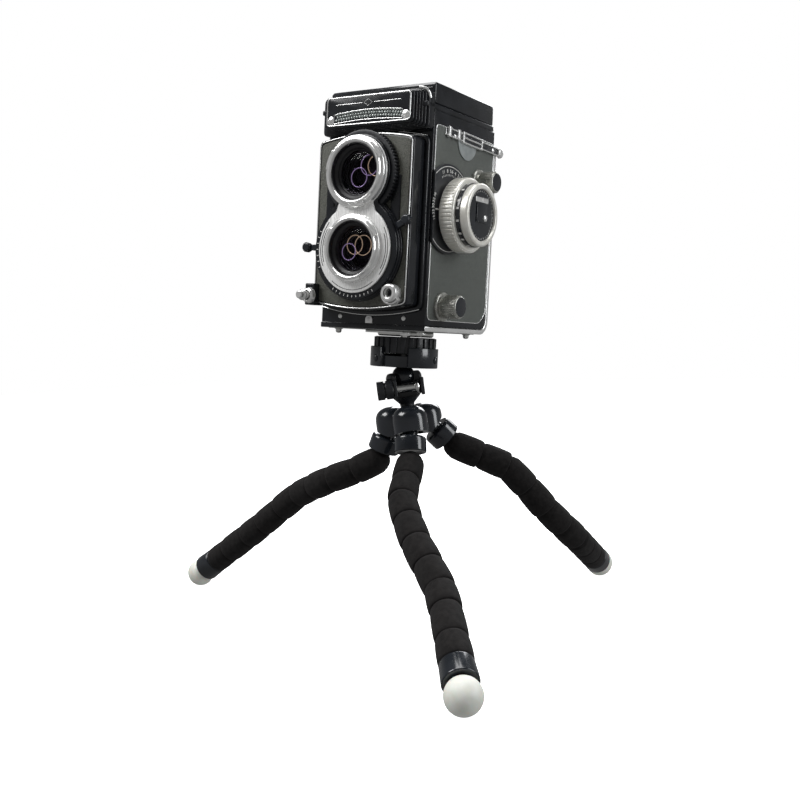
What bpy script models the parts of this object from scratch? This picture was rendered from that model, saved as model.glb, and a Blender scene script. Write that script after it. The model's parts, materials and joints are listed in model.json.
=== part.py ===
"""Twin-lens film camera on a small flexible tripod. Millimetres are turned into metres by MM.

The camera has its own frame: X to its left-hand side, -Y out of the lenses, +Z up, with the origin under
the middle of its front face. The tripod's hub has another. Both lean a little, as they stand on bent legs.
Each moving body hangs on an empty whose local Z is the axis of its joint.
"""

import math

import bmesh
import bpy
from mathutils import Matrix, Vector

MM = 0.001
GAP = 0.3

# Camera body
BODY_HALF_WIDTH = 39.0
BODY_DEPTH = 73.0
BODY_BASE = 3.3
BODY_TOP = 131.0
WALL = 3.0
DOOR_THICKNESS = 3.0
DOOR_TOP = 117.5
DOOR_CORNER = 9.0
DOOR_HINGE = (79.6, 119.2)

# Lenses, on the camera's middle plane
VIEW_LENS_Z = 92.7
TAKE_LENS_Z = 47.4
BARREL_RADIUS = 16.5
BOARD_FRONT = -14.0
BOARD_BACK = -0.6
BOARD_HALF_WIDTH = 35.0

# Hood
HOOD_FRAME_TOP = 134.3
HOOD_TOP = 147.0
HOOD_HINGE = (0.3, 146.5)
HOOD_WALL_HEIGHT = 29.0

# Controls
FOCUS_AXIS = (26.0, 71.5)
DIAL_CENTRE = (18.2, 74.4)
DIAL_RADIUS = 27.0
DIAL_FRONT = 0.8
UPPER_SPOOL_AXIS = (54.0, 95.5)
LOWER_SPOOL_AXIS = (18.0, 15.6)
CRANK_AXIS = (40.0, 92.0)
RELEASE_AT = (-34.0, 19.0)
SYNC_AT = (26.0, 21.6)

# Tripod head, along the tripod screw's axis under the camera
SCREW_AT = (2.0, 36.0)
PLATFORM_TOP = -4.0
PLATFORM_BOTTOM = -14.5
PLATFORM_RADIUS = 20.0
RING_TOP = -10.5
RING_BOTTOM = -23.2
RING_RADIUS = 22.0
BALL_CENTRE = -29.5
BALL_RADIUS = 7.6
HEAD_YAW = 34.7
CLAMP_SLOT = (-5.0, 9.8)  # the open front, across which the bolt runs
BOLT_Y = -9.4
BOLT_BELOW_BALL = 7.0

# How the camera and the hub lean: degrees, and the compass direction they lean to
CAMERA_LEAN = (4.4, 113.0)
HUB_LEAN = (6.0, -55.0)

# Hub and legs
HUB_HEIGHT = 122.0
HUB_AT = (34.41, -9.5)  # puts the origin under the middle of the whole object's box
BALL_ABOVE_HUB = 34.0
LOBE_CENTRE_RADIUS = 12.0
LEG_ROOT_RADIUS = 12.5
LEG_ROOT_HEIGHT = 5.0
SWIVEL_HEIGHT = 14.5
COLLAR_LENGTH = 26.0
COLLAR_SETBACK = 6.5
COLLAR_RADIUS = 10.2
FOAM_RADIUS = 9.25
FOAM_PITCH = 19.4
SEAT_RADIUS = 9.7
RIM_SETBACK = 6.0
RINGS_PER_SECTION = (2, 2, 2, 3)
CAP_LENGTH = 13.0
FOOT_RADIUS = 9.8
FOOT_CENTRE_HEIGHT = 9.4
FOOT_BEYOND_CAP = 8.0
SIDES = 16

# Each leg: the lobe's compass direction; the (heading, droop, depth) of the flat mouth that its ball looks
# out of; and the (heading, droop) of the collar and of the foam sections. The last section's droop is worked
# out, so that the foot meets the ground.
LEGS = {
    "front": (36, (32, 75, 7.2), ((30, 73), (24, 29.1), (47.2, 31.3), (55.4, 30.3), (40, None))),
    "left": (-84, (-80, 70, 7.2), ((-78, 68), (-77, 21.4), (-103, 20.2), (-82.6, 36.3), (-93.5, None))),
    "right": (156, (145, 52, 5.8), ((138, 44), (124, 23.9), (133.7, 49), (165.4, 37.8), (191, None))),
}


def clear_scene():
    for obj in list(bpy.data.objects):
        bpy.data.objects.remove(obj, do_unlink=True)


def material(name, color, roughness, metallic=0.0):
    made = bpy.data.materials.new(name)
    made.use_nodes = True
    shader = made.node_tree.nodes["Principled BSDF"]
    shader.inputs["Base Color"].default_value = (*color, 1.0)
    shader.inputs["Roughness"].default_value = roughness
    shader.inputs["Metallic"].default_value = metallic
    return made


def make_materials():
    return {
        "enamel": material("black_enamel", (0.012, 0.013, 0.016), 0.2),
        "leather": material("grey_leatherette", (0.11, 0.12, 0.11), 0.6),
        "chrome": material("satin_chrome", (0.75, 0.75, 0.72), 0.22, 1.0),
        "glass": material("coated_glass", (0.02, 0.015, 0.03), 0.05),
        "plastic": material("black_plastic", (0.02, 0.022, 0.026), 0.3),
        "foam": material("black_foam", (0.013, 0.012, 0.012), 0.85),
        "rubber": material("white_rubber", (0.7, 0.71, 0.67), 0.5),
        "mirror": material("silvered_glass", (0.9, 0.9, 0.9), 0.02, 1.0),
    }


# Directions and frames


def heading(compass, droop=0.0):
    """The direction that points to a compass angle (0 is -Y, 90 is +X), drooping below the horizon."""
    a, d = math.radians(compass), math.radians(droop)
    return Vector((math.sin(a) * math.cos(d), -math.cos(a) * math.cos(d), -math.sin(d)))


def leaning(degrees, compass):
    """The turn that leans +Z by degrees towards a compass direction."""
    axis = Vector((0, 0, 1)).cross(heading(compass))
    return Matrix.Rotation(math.radians(degrees), 4, axis)


def along(direction):
    """A turn whose local Z is the direction."""
    return Vector(direction).to_track_quat("Z", "Y").to_matrix().to_4x4()


def moved(*offset):
    return Matrix.Translation(Vector(offset))


class Body:
    """An empty that pieces ride on. Its world matrix, in millimetres, is kept beside it."""

    def __init__(self, name, frame, point=(0, 0, 0), axis=(0, 0, 1), parent=None):
        self.world = frame @ moved(*point) @ along(axis)
        self.empty = bpy.data.objects.new(name, None)
        self.empty.empty_display_size = 0.01
        bpy.context.scene.collection.objects.link(self.empty)
        if parent:
            self.empty.parent = parent.empty
            self.empty.matrix_parent_inverse = in_metres(parent.world).inverted()
        self.empty.matrix_basis = in_metres(self.world)


def in_metres(frame):
    made = frame.copy()
    made.translation = frame.translation * MM
    return made


# Shapes, as meshes in millimetres


def mesh_of(name, bm):
    bmesh.ops.recalc_face_normals(bm, faces=bm.faces)
    bmesh.ops.scale(bm, vec=(MM, MM, MM), verts=bm.verts)
    mesh = bpy.data.meshes.new(name)
    bm.to_mesh(mesh)
    bm.free()
    mesh.shade_smooth()
    mesh.set_sharp_from_angle(angle=math.radians(35))
    return mesh


def turned(profile, sides=SIDES, place=None, closed=False):
    """A profile of (radius, height) points turned round Z. Its ends lie on the axis, unless it is closed."""
    bm = bmesh.new()
    rings = []
    for radius, height in profile:
        if radius == 0:
            rings.append([bm.verts.new((0, 0, height))] * sides)
            continue
        angles = [math.tau * i / sides for i in range(sides)]
        rings.append([bm.verts.new((radius * math.cos(a), radius * math.sin(a), height)) for a in angles])
    pairs = list(zip(rings, rings[1:]))
    if closed:
        pairs.append((rings[-1], rings[0]))
    for low, high in pairs:
        for i in range(sides):
            j = (i + 1) % sides
            corners = list(dict.fromkeys((low[i], low[j], high[j], high[i])))
            if len(corners) > 2:
                bm.faces.new(corners)
    if place:
        bmesh.ops.transform(bm, matrix=place, verts=bm.verts)
    return bm


def prism(outline, low, high, place=None):
    """A flat outline of (x, y) points, raised from low to high along Z."""
    bm = bmesh.new()
    floor = [bm.verts.new((x, y, low)) for x, y in outline]
    roof = [bm.verts.new((x, y, high)) for x, y in outline]
    bm.faces.new(floor[::-1])
    bm.faces.new(roof)
    for i in range(len(outline)):
        j = (i + 1) % len(outline)
        bm.faces.new((floor[i], floor[j], roof[j], roof[i]))
    if place:
        bmesh.ops.transform(bm, matrix=place, verts=bm.verts)
    return bm


def block(x0, x1, y0, y1, z0, z1):
    return prism(((x0, y0), (x1, y0), (x1, y1), (x0, y1)), z0, z1)


def arc(centre, radius, start, end, steps):
    """Points on a circle from start to end, in degrees."""
    angles = [math.radians(start + (end - start) * i / steps) for i in range(steps + 1)]
    return [(centre[0] + radius * math.cos(a), centre[1] + radius * math.sin(a)) for a in angles]


def rounded_rectangle(x0, x1, y0, y1, radius, steps=3):
    corners = (((x1, y1), 0), ((x0, y1), 90), ((x0, y0), 180), ((x1, y0), 270))
    outline = []
    for (x, y), start in corners:
        centre = (x + math.copysign(radius, x0 + x1 - 2 * x), y + math.copysign(radius, y0 + y1 - 2 * y))
        outline += arc(centre, radius, start, start + 90, steps)
    return outline


# Places for shapes made along Z: FRONT points it out of the lenses with X kept, SIDE out of the left side.
FRONT = Matrix(((1, 0, 0, 0), (0, 0, -1, 0), (0, 1, 0, 0), (0, 0, 0, 1)))
SIDE = Matrix(((0, 0, 1, 0), (1, 0, 0, 0), (0, 1, 0, 0), (0, 0, 0, 1)))


def facing_front(x, z):
    """Local Z runs out of the lenses from the plane Y = 0, over the point (x, z)."""
    return moved(x, 0, z) @ FRONT


def facing_side(y, z):
    """Local Z runs along +X from the plane X = 0, over the point (y, z)."""
    return moved(0, y, z) @ SIDE


def piece(name, bm, surface, frame, body, joined=(), cuts=()):
    """A node: a mesh in a frame, on a body, with other shapes joined to it and then others cut from it."""
    obj = bpy.data.objects.new(name, mesh_of(name, bm))
    bpy.context.scene.collection.objects.link(obj)
    obj.data.materials.append(surface)
    settle(obj, frame, body)
    for shape in joined:
        change(obj, "UNION", shape, frame, body)
    for shape in cuts:
        change(obj, "DIFFERENCE", shape, frame, body)
    return obj


def change(obj, operation, shape, frame, body):
    name = f"{obj.name}_{operation.lower()}"
    helper = bpy.data.objects.new(name, mesh_of(name, shape))
    bpy.context.scene.collection.objects.link(helper)
    helper.hide_render = True
    helper.display_type = "WIRE"
    settle(helper, frame, body)
    boolean = obj.modifiers.new(operation.lower(), "BOOLEAN")
    boolean.operation = operation
    boolean.solver = "EXACT"
    boolean.object = helper


def settle(obj, frame, body):
    obj.parent = body.empty
    obj.matrix_parent_inverse = in_metres(body.world).inverted()
    obj.matrix_basis = in_metres(frame)


# Tripod


def ball_profile(radius, centre, start, end, steps):
    """Points on a sphere about the axis, from one polar angle to another, measured from +Z."""
    angles = [math.radians(start + (end - start) * i / steps) for i in range(steps + 1)]
    points = [(radius * math.sin(a), centre + radius * math.cos(a)) for a in angles]
    return [(0 if r < 1e-6 else r, z) for r, z in points]


def cup(length, radius=SEAT_RADIUS, setback=RIM_SETBACK):
    """The hollow that takes the next piece's round end: from its rim in to the axis."""
    rim = math.degrees(math.acos(setback / radius))
    return ball_profile(radius, length, 180 - rim, 180, 3)


def collar_shape():
    """A ball that sits in the hub, a neck, and the band that the foam starts in."""
    ball, neck, shoulder = 8.2, 4.6, 9.5
    neck_angle = math.degrees(math.asin(neck / ball))
    return turned(
        ball_profile(ball, 0, 180, neck_angle, 5)
        + [(neck, shoulder), (COLLAR_RADIUS - 0.7, shoulder), (COLLAR_RADIUS, shoulder + 0.7)]
        + [(COLLAR_RADIUS, COLLAR_LENGTH - COLLAR_SETBACK)]
        + cup(COLLAR_LENGTH, setback=COLLAR_SETBACK)
    )


def foam_shape(length, last):
    start = ball_profile(FOAM_RADIUS, 0, 180, 90, 3)
    if last:
        return turned(start + [(FOAM_RADIUS, length), (0, length)])
    return turned(start + [(FOAM_RADIUS, length - RIM_SETBACK)] + cup(length))


def cap_shape():
    seat_rim = math.degrees(math.acos(FOOT_BEYOND_CAP / (FOOT_RADIUS + GAP)))
    seat = ball_profile(FOOT_RADIUS + GAP, CAP_LENGTH + FOOT_BEYOND_CAP, 180 - seat_rim, 180, 2)
    outer = FOAM_RADIUS + 0.3
    return turned([(0, GAP), (outer, GAP), (outer, CAP_LENGTH - 1), (outer - 1, CAP_LENGTH)] + seat)


def foot_shape():
    flat_angle = 180 - math.degrees(math.acos(FOOT_CENTRE_HEIGHT / FOOT_RADIUS))
    return turned(ball_profile(FOOT_RADIUS, 0, 0, flat_angle, 8) + [(0, -FOOT_CENTRE_HEIGHT)], 20)


def lobe(compass):
    """An upright moulding with a rounded top, over one leg's ball."""
    low, radius, top = -3.4, 11.3, 15.5
    profile = [(0, low), (radius, low), (radius, 7), (10.9, 9.5), (9.6, 12), (7.4, 14), (4.4, 15.2), (0, top)]
    return turned(profile, 20, moved(*heading(compass) * LOBE_CENTRE_RADIUS))


def leg_socket(place):
    """The round seat of a leg's ball, and the narrower way out of it."""
    seat, way_out = 8.7, 7.6
    start = math.degrees(math.asin(way_out / seat))
    return turned(ball_profile(seat, 0, 180, start, 7) + [(way_out, 12), (0, 12)], 18, place)


def make_hub(mats, root, hub_frame):
    roots, lobes, cuts = {}, [], []
    for leg, (compass, (mouth_heading, mouth_droop, depth), _) in LEGS.items():
        at = heading(compass) * LEG_ROOT_RADIUS + Vector((0, 0, LEG_ROOT_HEIGHT))
        place = moved(*at) @ along(heading(mouth_heading, mouth_droop))
        roots[leg] = hub_frame @ at
        lobes.append(lobe(compass))
        cuts.append(turned([(0, depth), (12.5, depth), (12.5, depth + 16), (0, depth + 16)], 20, place))
        cuts.append(leg_socket(place))
    core = [(0, 14.2), (4.4, 14.2), (6, 12.5), (9, 8), (9.5, -2.5), (0, -2.5)]
    piece("hub", turned(core, 20), mats["plastic"], hub_frame, root, joined=lobes, cuts=cuts)
    return roots


def last_droop(start_height, length):
    return math.degrees(math.asin((start_height - FOOT_CENTRE_HEIGHT) / length))


def make_leg(leg, mats, root, start):
    """The collar, then the foam sections, each turning in the one before. Pitch and yaw axes alternate."""
    bends = LEGS[leg][2]
    end_extra = CAP_LENGTH + FOOT_BEYOND_CAP
    lengths = [COLLAR_LENGTH] + [rings * FOAM_PITCH for rings in RINGS_PER_SECTION]
    at, parent = Vector(start), root
    for i, (length, (compass, droop)) in enumerate(zip(lengths, bends)):
        last = i == len(lengths) - 1
        if droop is None:
            droop = last_droop(at.z, length + end_extra)
        direction = heading(compass, droop)
        level = direction.cross(Vector((0, 0, 1))).normalized()
        axis = level.cross(direction) if i in (1, 3) else level
        frame = moved(*at) @ along(direction)
        name = f"leg_{leg}_collar" if i == 0 else f"leg_{leg}_foam_{i}"
        body = Body(f"{name}_bend", moved(*at), axis=axis, parent=parent)
        if i == 0:
            piece(name, collar_shape(), mats["plastic"], frame, body)
        else:
            piece(name, foam_shape(length, last), mats["foam"], frame, body)
        at, parent = at + direction * length, body
    piece(f"leg_{leg}_cap", cap_shape(), mats["plastic"], moved(*at) @ along(direction), parent)
    piece(f"leg_{leg}_foot", foot_shape(), mats["rubber"], moved(*(at + direction * end_extra)), parent)
    return at + direction * end_extra


# Tripod head

def make_clamp(mats, root, hub_frame):
    """The clamp turns on the hub. Its frame has its origin at the ball's centre, and X along its bolt."""
    centre = BALL_ABOVE_HUB
    frame = hub_frame @ moved(0, 0, centre) @ Matrix.Rotation(math.radians(HEAD_YAW), 4, "Z")
    swivel = Body("head_swivel", frame, (0, 0, SWIVEL_HEIGHT - centre), (0, 0, 1), root)
    bottom = SWIVEL_HEIGHT - centre
    profile = [(0, bottom), (4.6, bottom), (4.6, bottom + 2), (8.5, bottom + 6), (11, bottom + 9)]
    profile += [(11.6, -8), (11.6, 0.6), (10.2, 3.0), (0, 3.0)]
    slot_left, slot_right = CLAMP_SLOT
    bolt_z = -BOLT_BELOW_BALL
    ear_left = block(-7.4, slot_left - 0.2, -13.2, 0, bolt_z - 5.5, bolt_z + 5.5)
    ear_right = block(slot_right + 0.2, 12.2, -13.2, 0, bolt_z - 5.5, bolt_z + 5.5)
    socket = turned(ball_profile(BALL_RADIUS + GAP, 0, 0, 180, 10), 20)
    notch = block(slot_left, slot_right, -20, -4.2, bolt_z - 6, 10)
    bolt_place = moved(0, BOLT_Y, bolt_z) @ SIDE
    bolt_hole = turned([(0, -9), (3.2, -9), (3.2, 0), (0, 0)], 12, bolt_place)
    knob_room = block(-20, -7.5, -20, -2.5, bolt_z - 7, bolt_z + 7)
    piece(
        "clamp_housing", turned(profile, 24), mats["plastic"], frame, swivel,
        joined=(ear_left, ear_right), cuts=(socket, notch, bolt_hole, knob_room),
    )
    knob_turn = Body("clamp_knob_turn", frame, (-8, BOLT_Y, bolt_z), (1, 0, 0), swivel)
    bolt = [(0, -11), (2.9, -11), (2.9, 6.6), (4.2, 6.6), (4.2, 9.4), (0, 9.4)]
    piece("clamp_bolt", turned(bolt, 12, bolt_place), mats["chrome"], frame, knob_turn)
    knob = [(0, -11.3), (3.2, -11.3), (3.2, -7.8), (6, -7.8), (6, -12.4), (5, -12.4), (5, -13.4)]
    knob += [(6, -13.4), (6, -18), (0, -18)]
    piece("clamp_knob", turned(knob, 20, bolt_place), mats["plastic"], frame, knob_turn)
    return frame, swivel


def ribbed_disc(radius, depth, ribs):
    outline = []
    for i in range(ribs):
        middle = 360 * i / ribs
        outline += arc((0, 0), radius, middle - 90 / ribs, middle + 90 / ribs, 1)
        outline += arc((0, 0), radius - depth, middle + 120 / ribs, middle + 240 / ribs, 1)
    return outline


def lock_ring_outline():
    """Three grips a little wider than the gaps between them."""
    outline = []
    for i in range(3):
        middle = -49.3 + HEAD_YAW - 0.3 + 120 * i
        outline += arc((0, 0), RING_RADIUS, middle - 35, middle + 35, 6)
        outline += arc((0, 0), RING_RADIUS - 3, middle + 37, middle + 83, 4)
    return outline


def make_platform(mats, clamp_frame, swivel, camera_frame):
    """The ball and all that is fixed on it, as far as the camera's base."""
    tilt = Body("ball_tilt", clamp_frame, (0, 0, 0), (1, 0, 0), swivel)
    frame = camera_frame @ moved(*SCREW_AT, 0)
    neck = 4.6
    neck_angle = math.degrees(math.asin(neck / BALL_RADIUS))
    stem = ball_profile(BALL_RADIUS, BALL_CENTRE, 180, neck_angle, 6)
    stem += [(neck, -14.3), (8.2, -14.3), (8.2, -11.8), (0, -11.8)]
    piece("ball_stem", turned(stem, 20), mats["plastic"], frame, tilt)
    recess = turned([(0, -11.5), (8.6, -11.5), (8.6, -20), (0, -20)], 20)
    screw_hole = turned([(0, 0), (3.4, 0), (3.4, -20), (0, -20)], 16)
    disc = prism(ribbed_disc(PLATFORM_RADIUS, 1.0, 24), PLATFORM_BOTTOM, PLATFORM_TOP)
    piece("platform_disc", disc, mats["plastic"], frame, tilt, cuts=(recess, screw_hole))
    piece("mount_screw", turned([(0, -11.2), (3, -11.2), (3, -1), (0, -1)], 12), mats["chrome"], frame, tilt)
    ring_turn = Body("lock_ring_turn", frame, (0, 0, -18), (0, 0, 1), tilt)
    well = turned([(0, 0), (PLATFORM_RADIUS + 0.4, 0), (PLATFORM_RADIUS + 0.4, -14.8), (0, -14.8)], 48)
    bore = turned([(0, 0), (5.2, 0), (5.2, -30), (0, -30)], 20)
    ring = prism(lock_ring_outline(), RING_BOTTOM, RING_TOP)
    piece("lock_ring", ring, mats["plastic"], frame, ring_turn, cuts=(well, bore))
    return tilt


# Camera


def make_door(mats, frame, tilt):
    """The L-shaped back stays on the tripod, because it carries the tripod socket."""
    t, y1 = DOOR_THICKNESS, BODY_DEPTH + 0.3 + DOOR_THICKNESS
    r = DOOR_CORNER
    outline = [(0.3, 0), *arc((y1 - r, r), r, 270, 360, 6), (y1, DOOR_TOP), (y1 - t, DOOR_TOP)]
    outline += [*arc((y1 - r, r), r - t, 360, 270, 6), (0.3, t)]
    half = BODY_HALF_WIDTH + 0.3
    piece("back_door", prism(outline, -half, half, SIDE), mats["leather"], frame, tilt)
    screw_frame = frame @ moved(*SCREW_AT, 0)
    socket = turned([(3.4, -0.3), (18, -0.3), (18, -3), (17.4, -3.7), (3.4, -3.7)], 28, closed=True)
    piece("tripod_socket", socket, mats["chrome"], screw_frame, tilt)
    plate = block(-30, 30, 70.4, BODY_DEPTH, 16, 78)
    piece("pressure_plate", plate, mats["plastic"], frame, tilt)
    latch_turn = Body("door_latch_turn", screw_frame, (0, 0, -1), (0, 0, 1), tilt)
    sector = arc((0, 0), 26, 215, 300, 8) + arc((0, 0), 19, 300, 215, 8)
    piece("door_latch", prism(sector, -1.9, -0.3), mats["chrome"], screw_frame, latch_turn)


def make_shell(mats, frame, camera):
    """Open at the back and the base, which the door closes, and at the top, which the hood stands on."""
    r = DOOR_CORNER - DOOR_THICKNESS - 0.3
    corner = (BODY_DEPTH - r, BODY_BASE + r)
    outline = [(0, BODY_BASE), *arc(corner, r, 270, 360, 4), (BODY_DEPTH, BODY_TOP), (0, BODY_TOP)]
    inner = BODY_HALF_WIDTH - WALL
    film_room = block(-inner, inner, WALL, 90, -5, 113)
    mirror_room = block(-inner, inner, WALL, BODY_DEPTH - WALL, 108, 140)
    window = block(-27, 27, -5, 5, 19, 110)
    septum = block(-inner - 1, inner + 1, 8.6, 15, 67.5, 70)
    shell = prism(outline, -BODY_HALF_WIDTH, BODY_HALF_WIDTH, SIDE)
    made = piece("body_shell", shell, mats["enamel"], frame, camera, cuts=(film_room, mirror_room, window))
    change(made, "UNION", septum, frame, camera)
    mirror = [(11.2, 72.3), (12.6, 70.9), (60.6, 118.9), (59.2, 120.3)]
    half = inner - GAP
    piece("mirror", prism(mirror, -half, half, SIDE), mats["mirror"], frame, camera)
    for name, (y, z) in (("supply_spool", LOWER_SPOOL_AXIS), ("takeup_spool", UPPER_SPOOL_AXIS)):
        turn = Body(f"{name}_turn", frame, (0, y, z), (1, 0, 0), camera)
        half_spool = [(11.2, 31), (11.2, 30), (5.2, 30)]
        profile = [(0, 31)] + half_spool + [(r, -x) for r, x in reversed(half_spool)] + [(0, -31)]
        piece(name, turned(profile, 16, facing_side(y, z)), mats["plastic"], frame, turn)


def make_hood(mats, frame, camera):
    half = BODY_HALF_WIDTH
    opening = block(-29, 29, 7, 65, 120, 140)
    plate = block(-half, half, -8, BODY_DEPTH - 2, BODY_TOP + GAP, HOOD_FRAME_TOP)
    front = [(-half, -0.4), (-half, -6.5), *arc((-half + 6, -6.5), 6, 180, 270, 4)]
    front += [*arc((half - 6, -6.5), 6, 270, 360, 4), (half, -0.4)]
    housing = prism(front, 118.6, 141.5)
    piece("hood_frame", plate, mats["enamel"], frame, camera, joined=(housing,), cuts=(opening,))
    piece("focusing_screen", block(-31, 31, 5, 67, 128.6, 131.0), mats["glass"], frame, camera)
    panel = rounded_rectangle(-31, 31, 122.5, 139.8, 2.5)
    piece("nameplate", prism(panel, 12.8, 13.8, FRONT), mats["enamel"], frame, camera)
    hinge_y, hinge_z = HOOD_HINGE
    lid_open = Body("hood_lid_open", frame, (0, hinge_y, hinge_z), (1, 0, 0), camera)
    lid = block(-half + 0.3, half - 0.3, 0, BODY_DEPTH - 2.5, HOOD_FRAME_TOP + GAP, HOOD_TOP)
    hollow = block(-half + 1.6, half - 1.6, 1.3, BODY_DEPTH - 3.8, 130, HOOD_TOP - 1.4)
    piece("hood_lid", lid, mats["enamel"], frame, lid_open, cuts=(hollow,))
    root_x, z = 35.0, 136.5
    tip_x = root_x - HOOD_WALL_HEIGHT
    for side, sign in (("left", 1), ("right", -1)):
        rise = Body(f"hood_wall_{side}_rise", frame, (sign * root_x, 0, z), (0, sign, 0), camera)
        outline = [(root_x - 0.4, 14), (root_x - 14, 14), (tip_x, 22), (tip_x, 62), (root_x - 0.4, 64)]
        outline = [(sign * x, y) for x, y in outline]
        piece(f"hood_wall_{side}", prism(outline, z - 0.5, z + 0.5), mats["enamel"], frame, rise)


def figure_eight(top_radius, low_radius, top_waist, low_waist):
    """A small circle over a large one, joined by a waist. The waists are angles below and above level."""
    top = arc((0, VIEW_LENS_Z), top_radius, -top_waist, 180 + top_waist, 16)
    low = arc((0, TAKE_LENS_Z), low_radius, 180 - low_waist, 360 + low_waist, 18)
    return top + low


def barrel(radius, flange_front, rear):
    """A lens: its flange ring in front, the recessed glass, and the barrel behind."""
    glass = flange_front - 5.0
    front = [(0, glass + 1.6), (9, glass + 1), (14.5, glass - 0.6), (16.6, flange_front - 1.2)]
    front += [(17.4, flange_front), (radius - 1.4, flange_front), (radius, flange_front - 1.4)]
    return front + [(radius, 21.8), (BARREL_RADIUS, 21.8), (BARREL_RADIUS, rear), (0, rear)]


def lens_holes(front, back):
    radius = BARREL_RADIUS + 0.4
    profile = [(0, front), (radius, front), (radius, back), (0, back)]
    return [turned(profile, 24, facing_front(0, z)) for z in (VIEW_LENS_Z, TAKE_LENS_Z)]


def make_front(mats, frame, camera):
    """The lens board slides out to focus, with the shutter, both lenses and their controls."""
    slide = Body("lens_board_slide", frame, (0, BOARD_FRONT, 70), (0, -1, 0), camera)
    half, low, high = BOARD_HALF_WIDTH, 13.5, 113.5
    rise = 4.2
    bow = (half * half + rise * rise) / (2 * rise)
    spread = math.degrees(math.asin(half / bow))
    outline = arc((0, high + rise - bow), bow, 90 - spread, 90 + spread, 8)
    outline += arc((0, low - 2.5 + bow), bow, 270 - spread, 270 + spread, 8)
    board = prism(outline, -BOARD_BACK, -BOARD_FRONT, FRONT)
    sleeve = block(-26.6, 26.6, BOARD_BACK - 1, 8, 20, 109)
    bracket = block(-37.6, -30.4, -19.5, -10, 13.2, 26.5)
    rooms = [block(-24.6, 24.6, -8, 20, z0, z1) for z0, z1 in ((22, 66), (72, 107))]
    x, z = RELEASE_AT
    release_bore = turned([(0, 30), (2.8, 30), (2.8, 12), (0, 12)], 12, facing_front(x, z))
    piece(
        "lens_board", board, mats["enamel"], frame, slide,
        joined=(sleeve, bracket), cuts=(*rooms, *lens_holes(30, -5), release_bore),
    )
    housing = prism(figure_eight(22.6, 30.4, 50, 50), -BOARD_FRONT + GAP, 20, FRONT)
    piece("shutter_housing", housing, mats["enamel"], frame, slide, cuts=lens_holes(30, 10))
    plate = prism(figure_eight(21.5, 26.4, 55, 57), 20.3, 21.5, FRONT)
    piece("faceplate", plate, mats["chrome"], frame, slide, cuts=lens_holes(30, 10))
    lenses = (("viewing_lens", 21.4, VIEW_LENS_Z, 6), ("taking_lens", 20.4, TAKE_LENS_Z, 4))
    for name, radius, z, rear in lenses:
        piece(name, turned(barrel(radius, 25.8, rear), 24, facing_front(0, z)), mats["glass"], frame, slide)
    make_front_controls(mats, frame, slide)


def make_front_controls(mats, frame, slide):
    for name, angle in (("aperture_lever", 178.0), ("speed_lever", 26.0)):
        turn = Body(f"{name}_turn", frame, (0, BOARD_FRONT, TAKE_LENS_Z), (0, -1, 0), slide)
        place = facing_front(0, TAKE_LENS_Z) @ Matrix.Rotation(math.radians(angle), 4, "Z")
        arm = prism(((31, -2), (38, -1.6), (38, 1.6), (31, 2)), 15.5, 18, place)
        knob = turned([(0, 14.5), (2.6, 14.5), (3, 15), (3, 19.4), (0, 20)], 10, place @ moved(38.5, 0, 0))
        piece(name, arm, mats["plastic"], frame, turn, joined=(knob,))
    x, z = RELEASE_AT
    press = Body("release_button_press", frame, (x, -28, z), (0, 1, 0), slide)
    button = [(0, 15.5), (2.4, 15.5), (2.4, 26), (3.2, 26.6), (3.2, 29.4), (2.6, 30), (0, 30)]
    piece("release_button", turned(button, 12, facing_front(x, z)), mats["chrome"], frame, press)
    x, z = SYNC_AT
    socket = [(0, 16), (2.2, 16), (2.2, 19.6), (3.2, 20.6), (4.8, 20.6), (5.4, 19.8), (5.4, 14.3), (0, 14.3)]
    piece("sync_socket", turned(socket, 16, facing_front(x, z)), mats["chrome"], frame, slide)


def make_side_controls(mats, frame, camera):
    left = BODY_HALF_WIDTH
    y, z = FOCUS_AXIS
    focus = Body("focus_turn", frame, (left, y, z), (1, 0, 0), camera)
    reach = math.degrees(math.acos((DIAL_FRONT - DIAL_CENTRE[0]) / DIAL_RADIUS))
    dial = arc(DIAL_CENTRE, DIAL_RADIUS, -reach, reach, 32)
    piece("distance_dial", prism(dial, left + 0.4, left + 2.2, SIDE), mats["plastic"], frame, camera)
    knob = [(0, 41.6), (20, 41.6), (22.6, 43), (22.6, 51.5), (21.6, 52.4), (19.4, 52.4), (19.4, 55.2)]
    knob += [(18.8, 55.2), (18.8, 59.6), (18, 60.4), (15.4, 60.4), (15, 59), (0, 59)]
    piece("focus_knob", turned(knob, 24, facing_side(y, z)), mats["chrome"], frame, focus)
    for name, (y, z), r in (("upper", UPPER_SPOOL_AXIS, 6.7), ("lower", LOWER_SPOOL_AXIS, 7.2)):
        pull = Body(f"spool_knob_{name}_pull", frame, (left, y, z), (1, 0, 0), camera)
        profile = [(0, left + 0.4), (r + 1.6, left + 0.4), (r + 1.6, left + 2.2), (r - 1, left + 2.2)]
        profile += [(r - 1, left + 3.4), (r, left + 3.4), (r, 52.2), (r - 0.8, 53), (0, 53)]
        piece(f"spool_knob_{name}", turned(profile, 16, facing_side(y, z)), mats["chrome"], frame, pull)
    for side, sign in (("left", 1), ("right", -1)):
        bar = [(12, 122.4), (12, 118.4), (27.5, 117.8)]
        bar += arc((38, 117.4), 10.5, 180, 360, 8)[1:-1] + [(48.5, 116.9), (77, 115.6), (77, 121)]
        low, high = sorted((sign * (left + 0.4), sign * (left + 2.6)))
        piece(f"strap_lug_{side}", prism(bar, low, high, SIDE), mats["chrome"], frame, camera)


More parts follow.
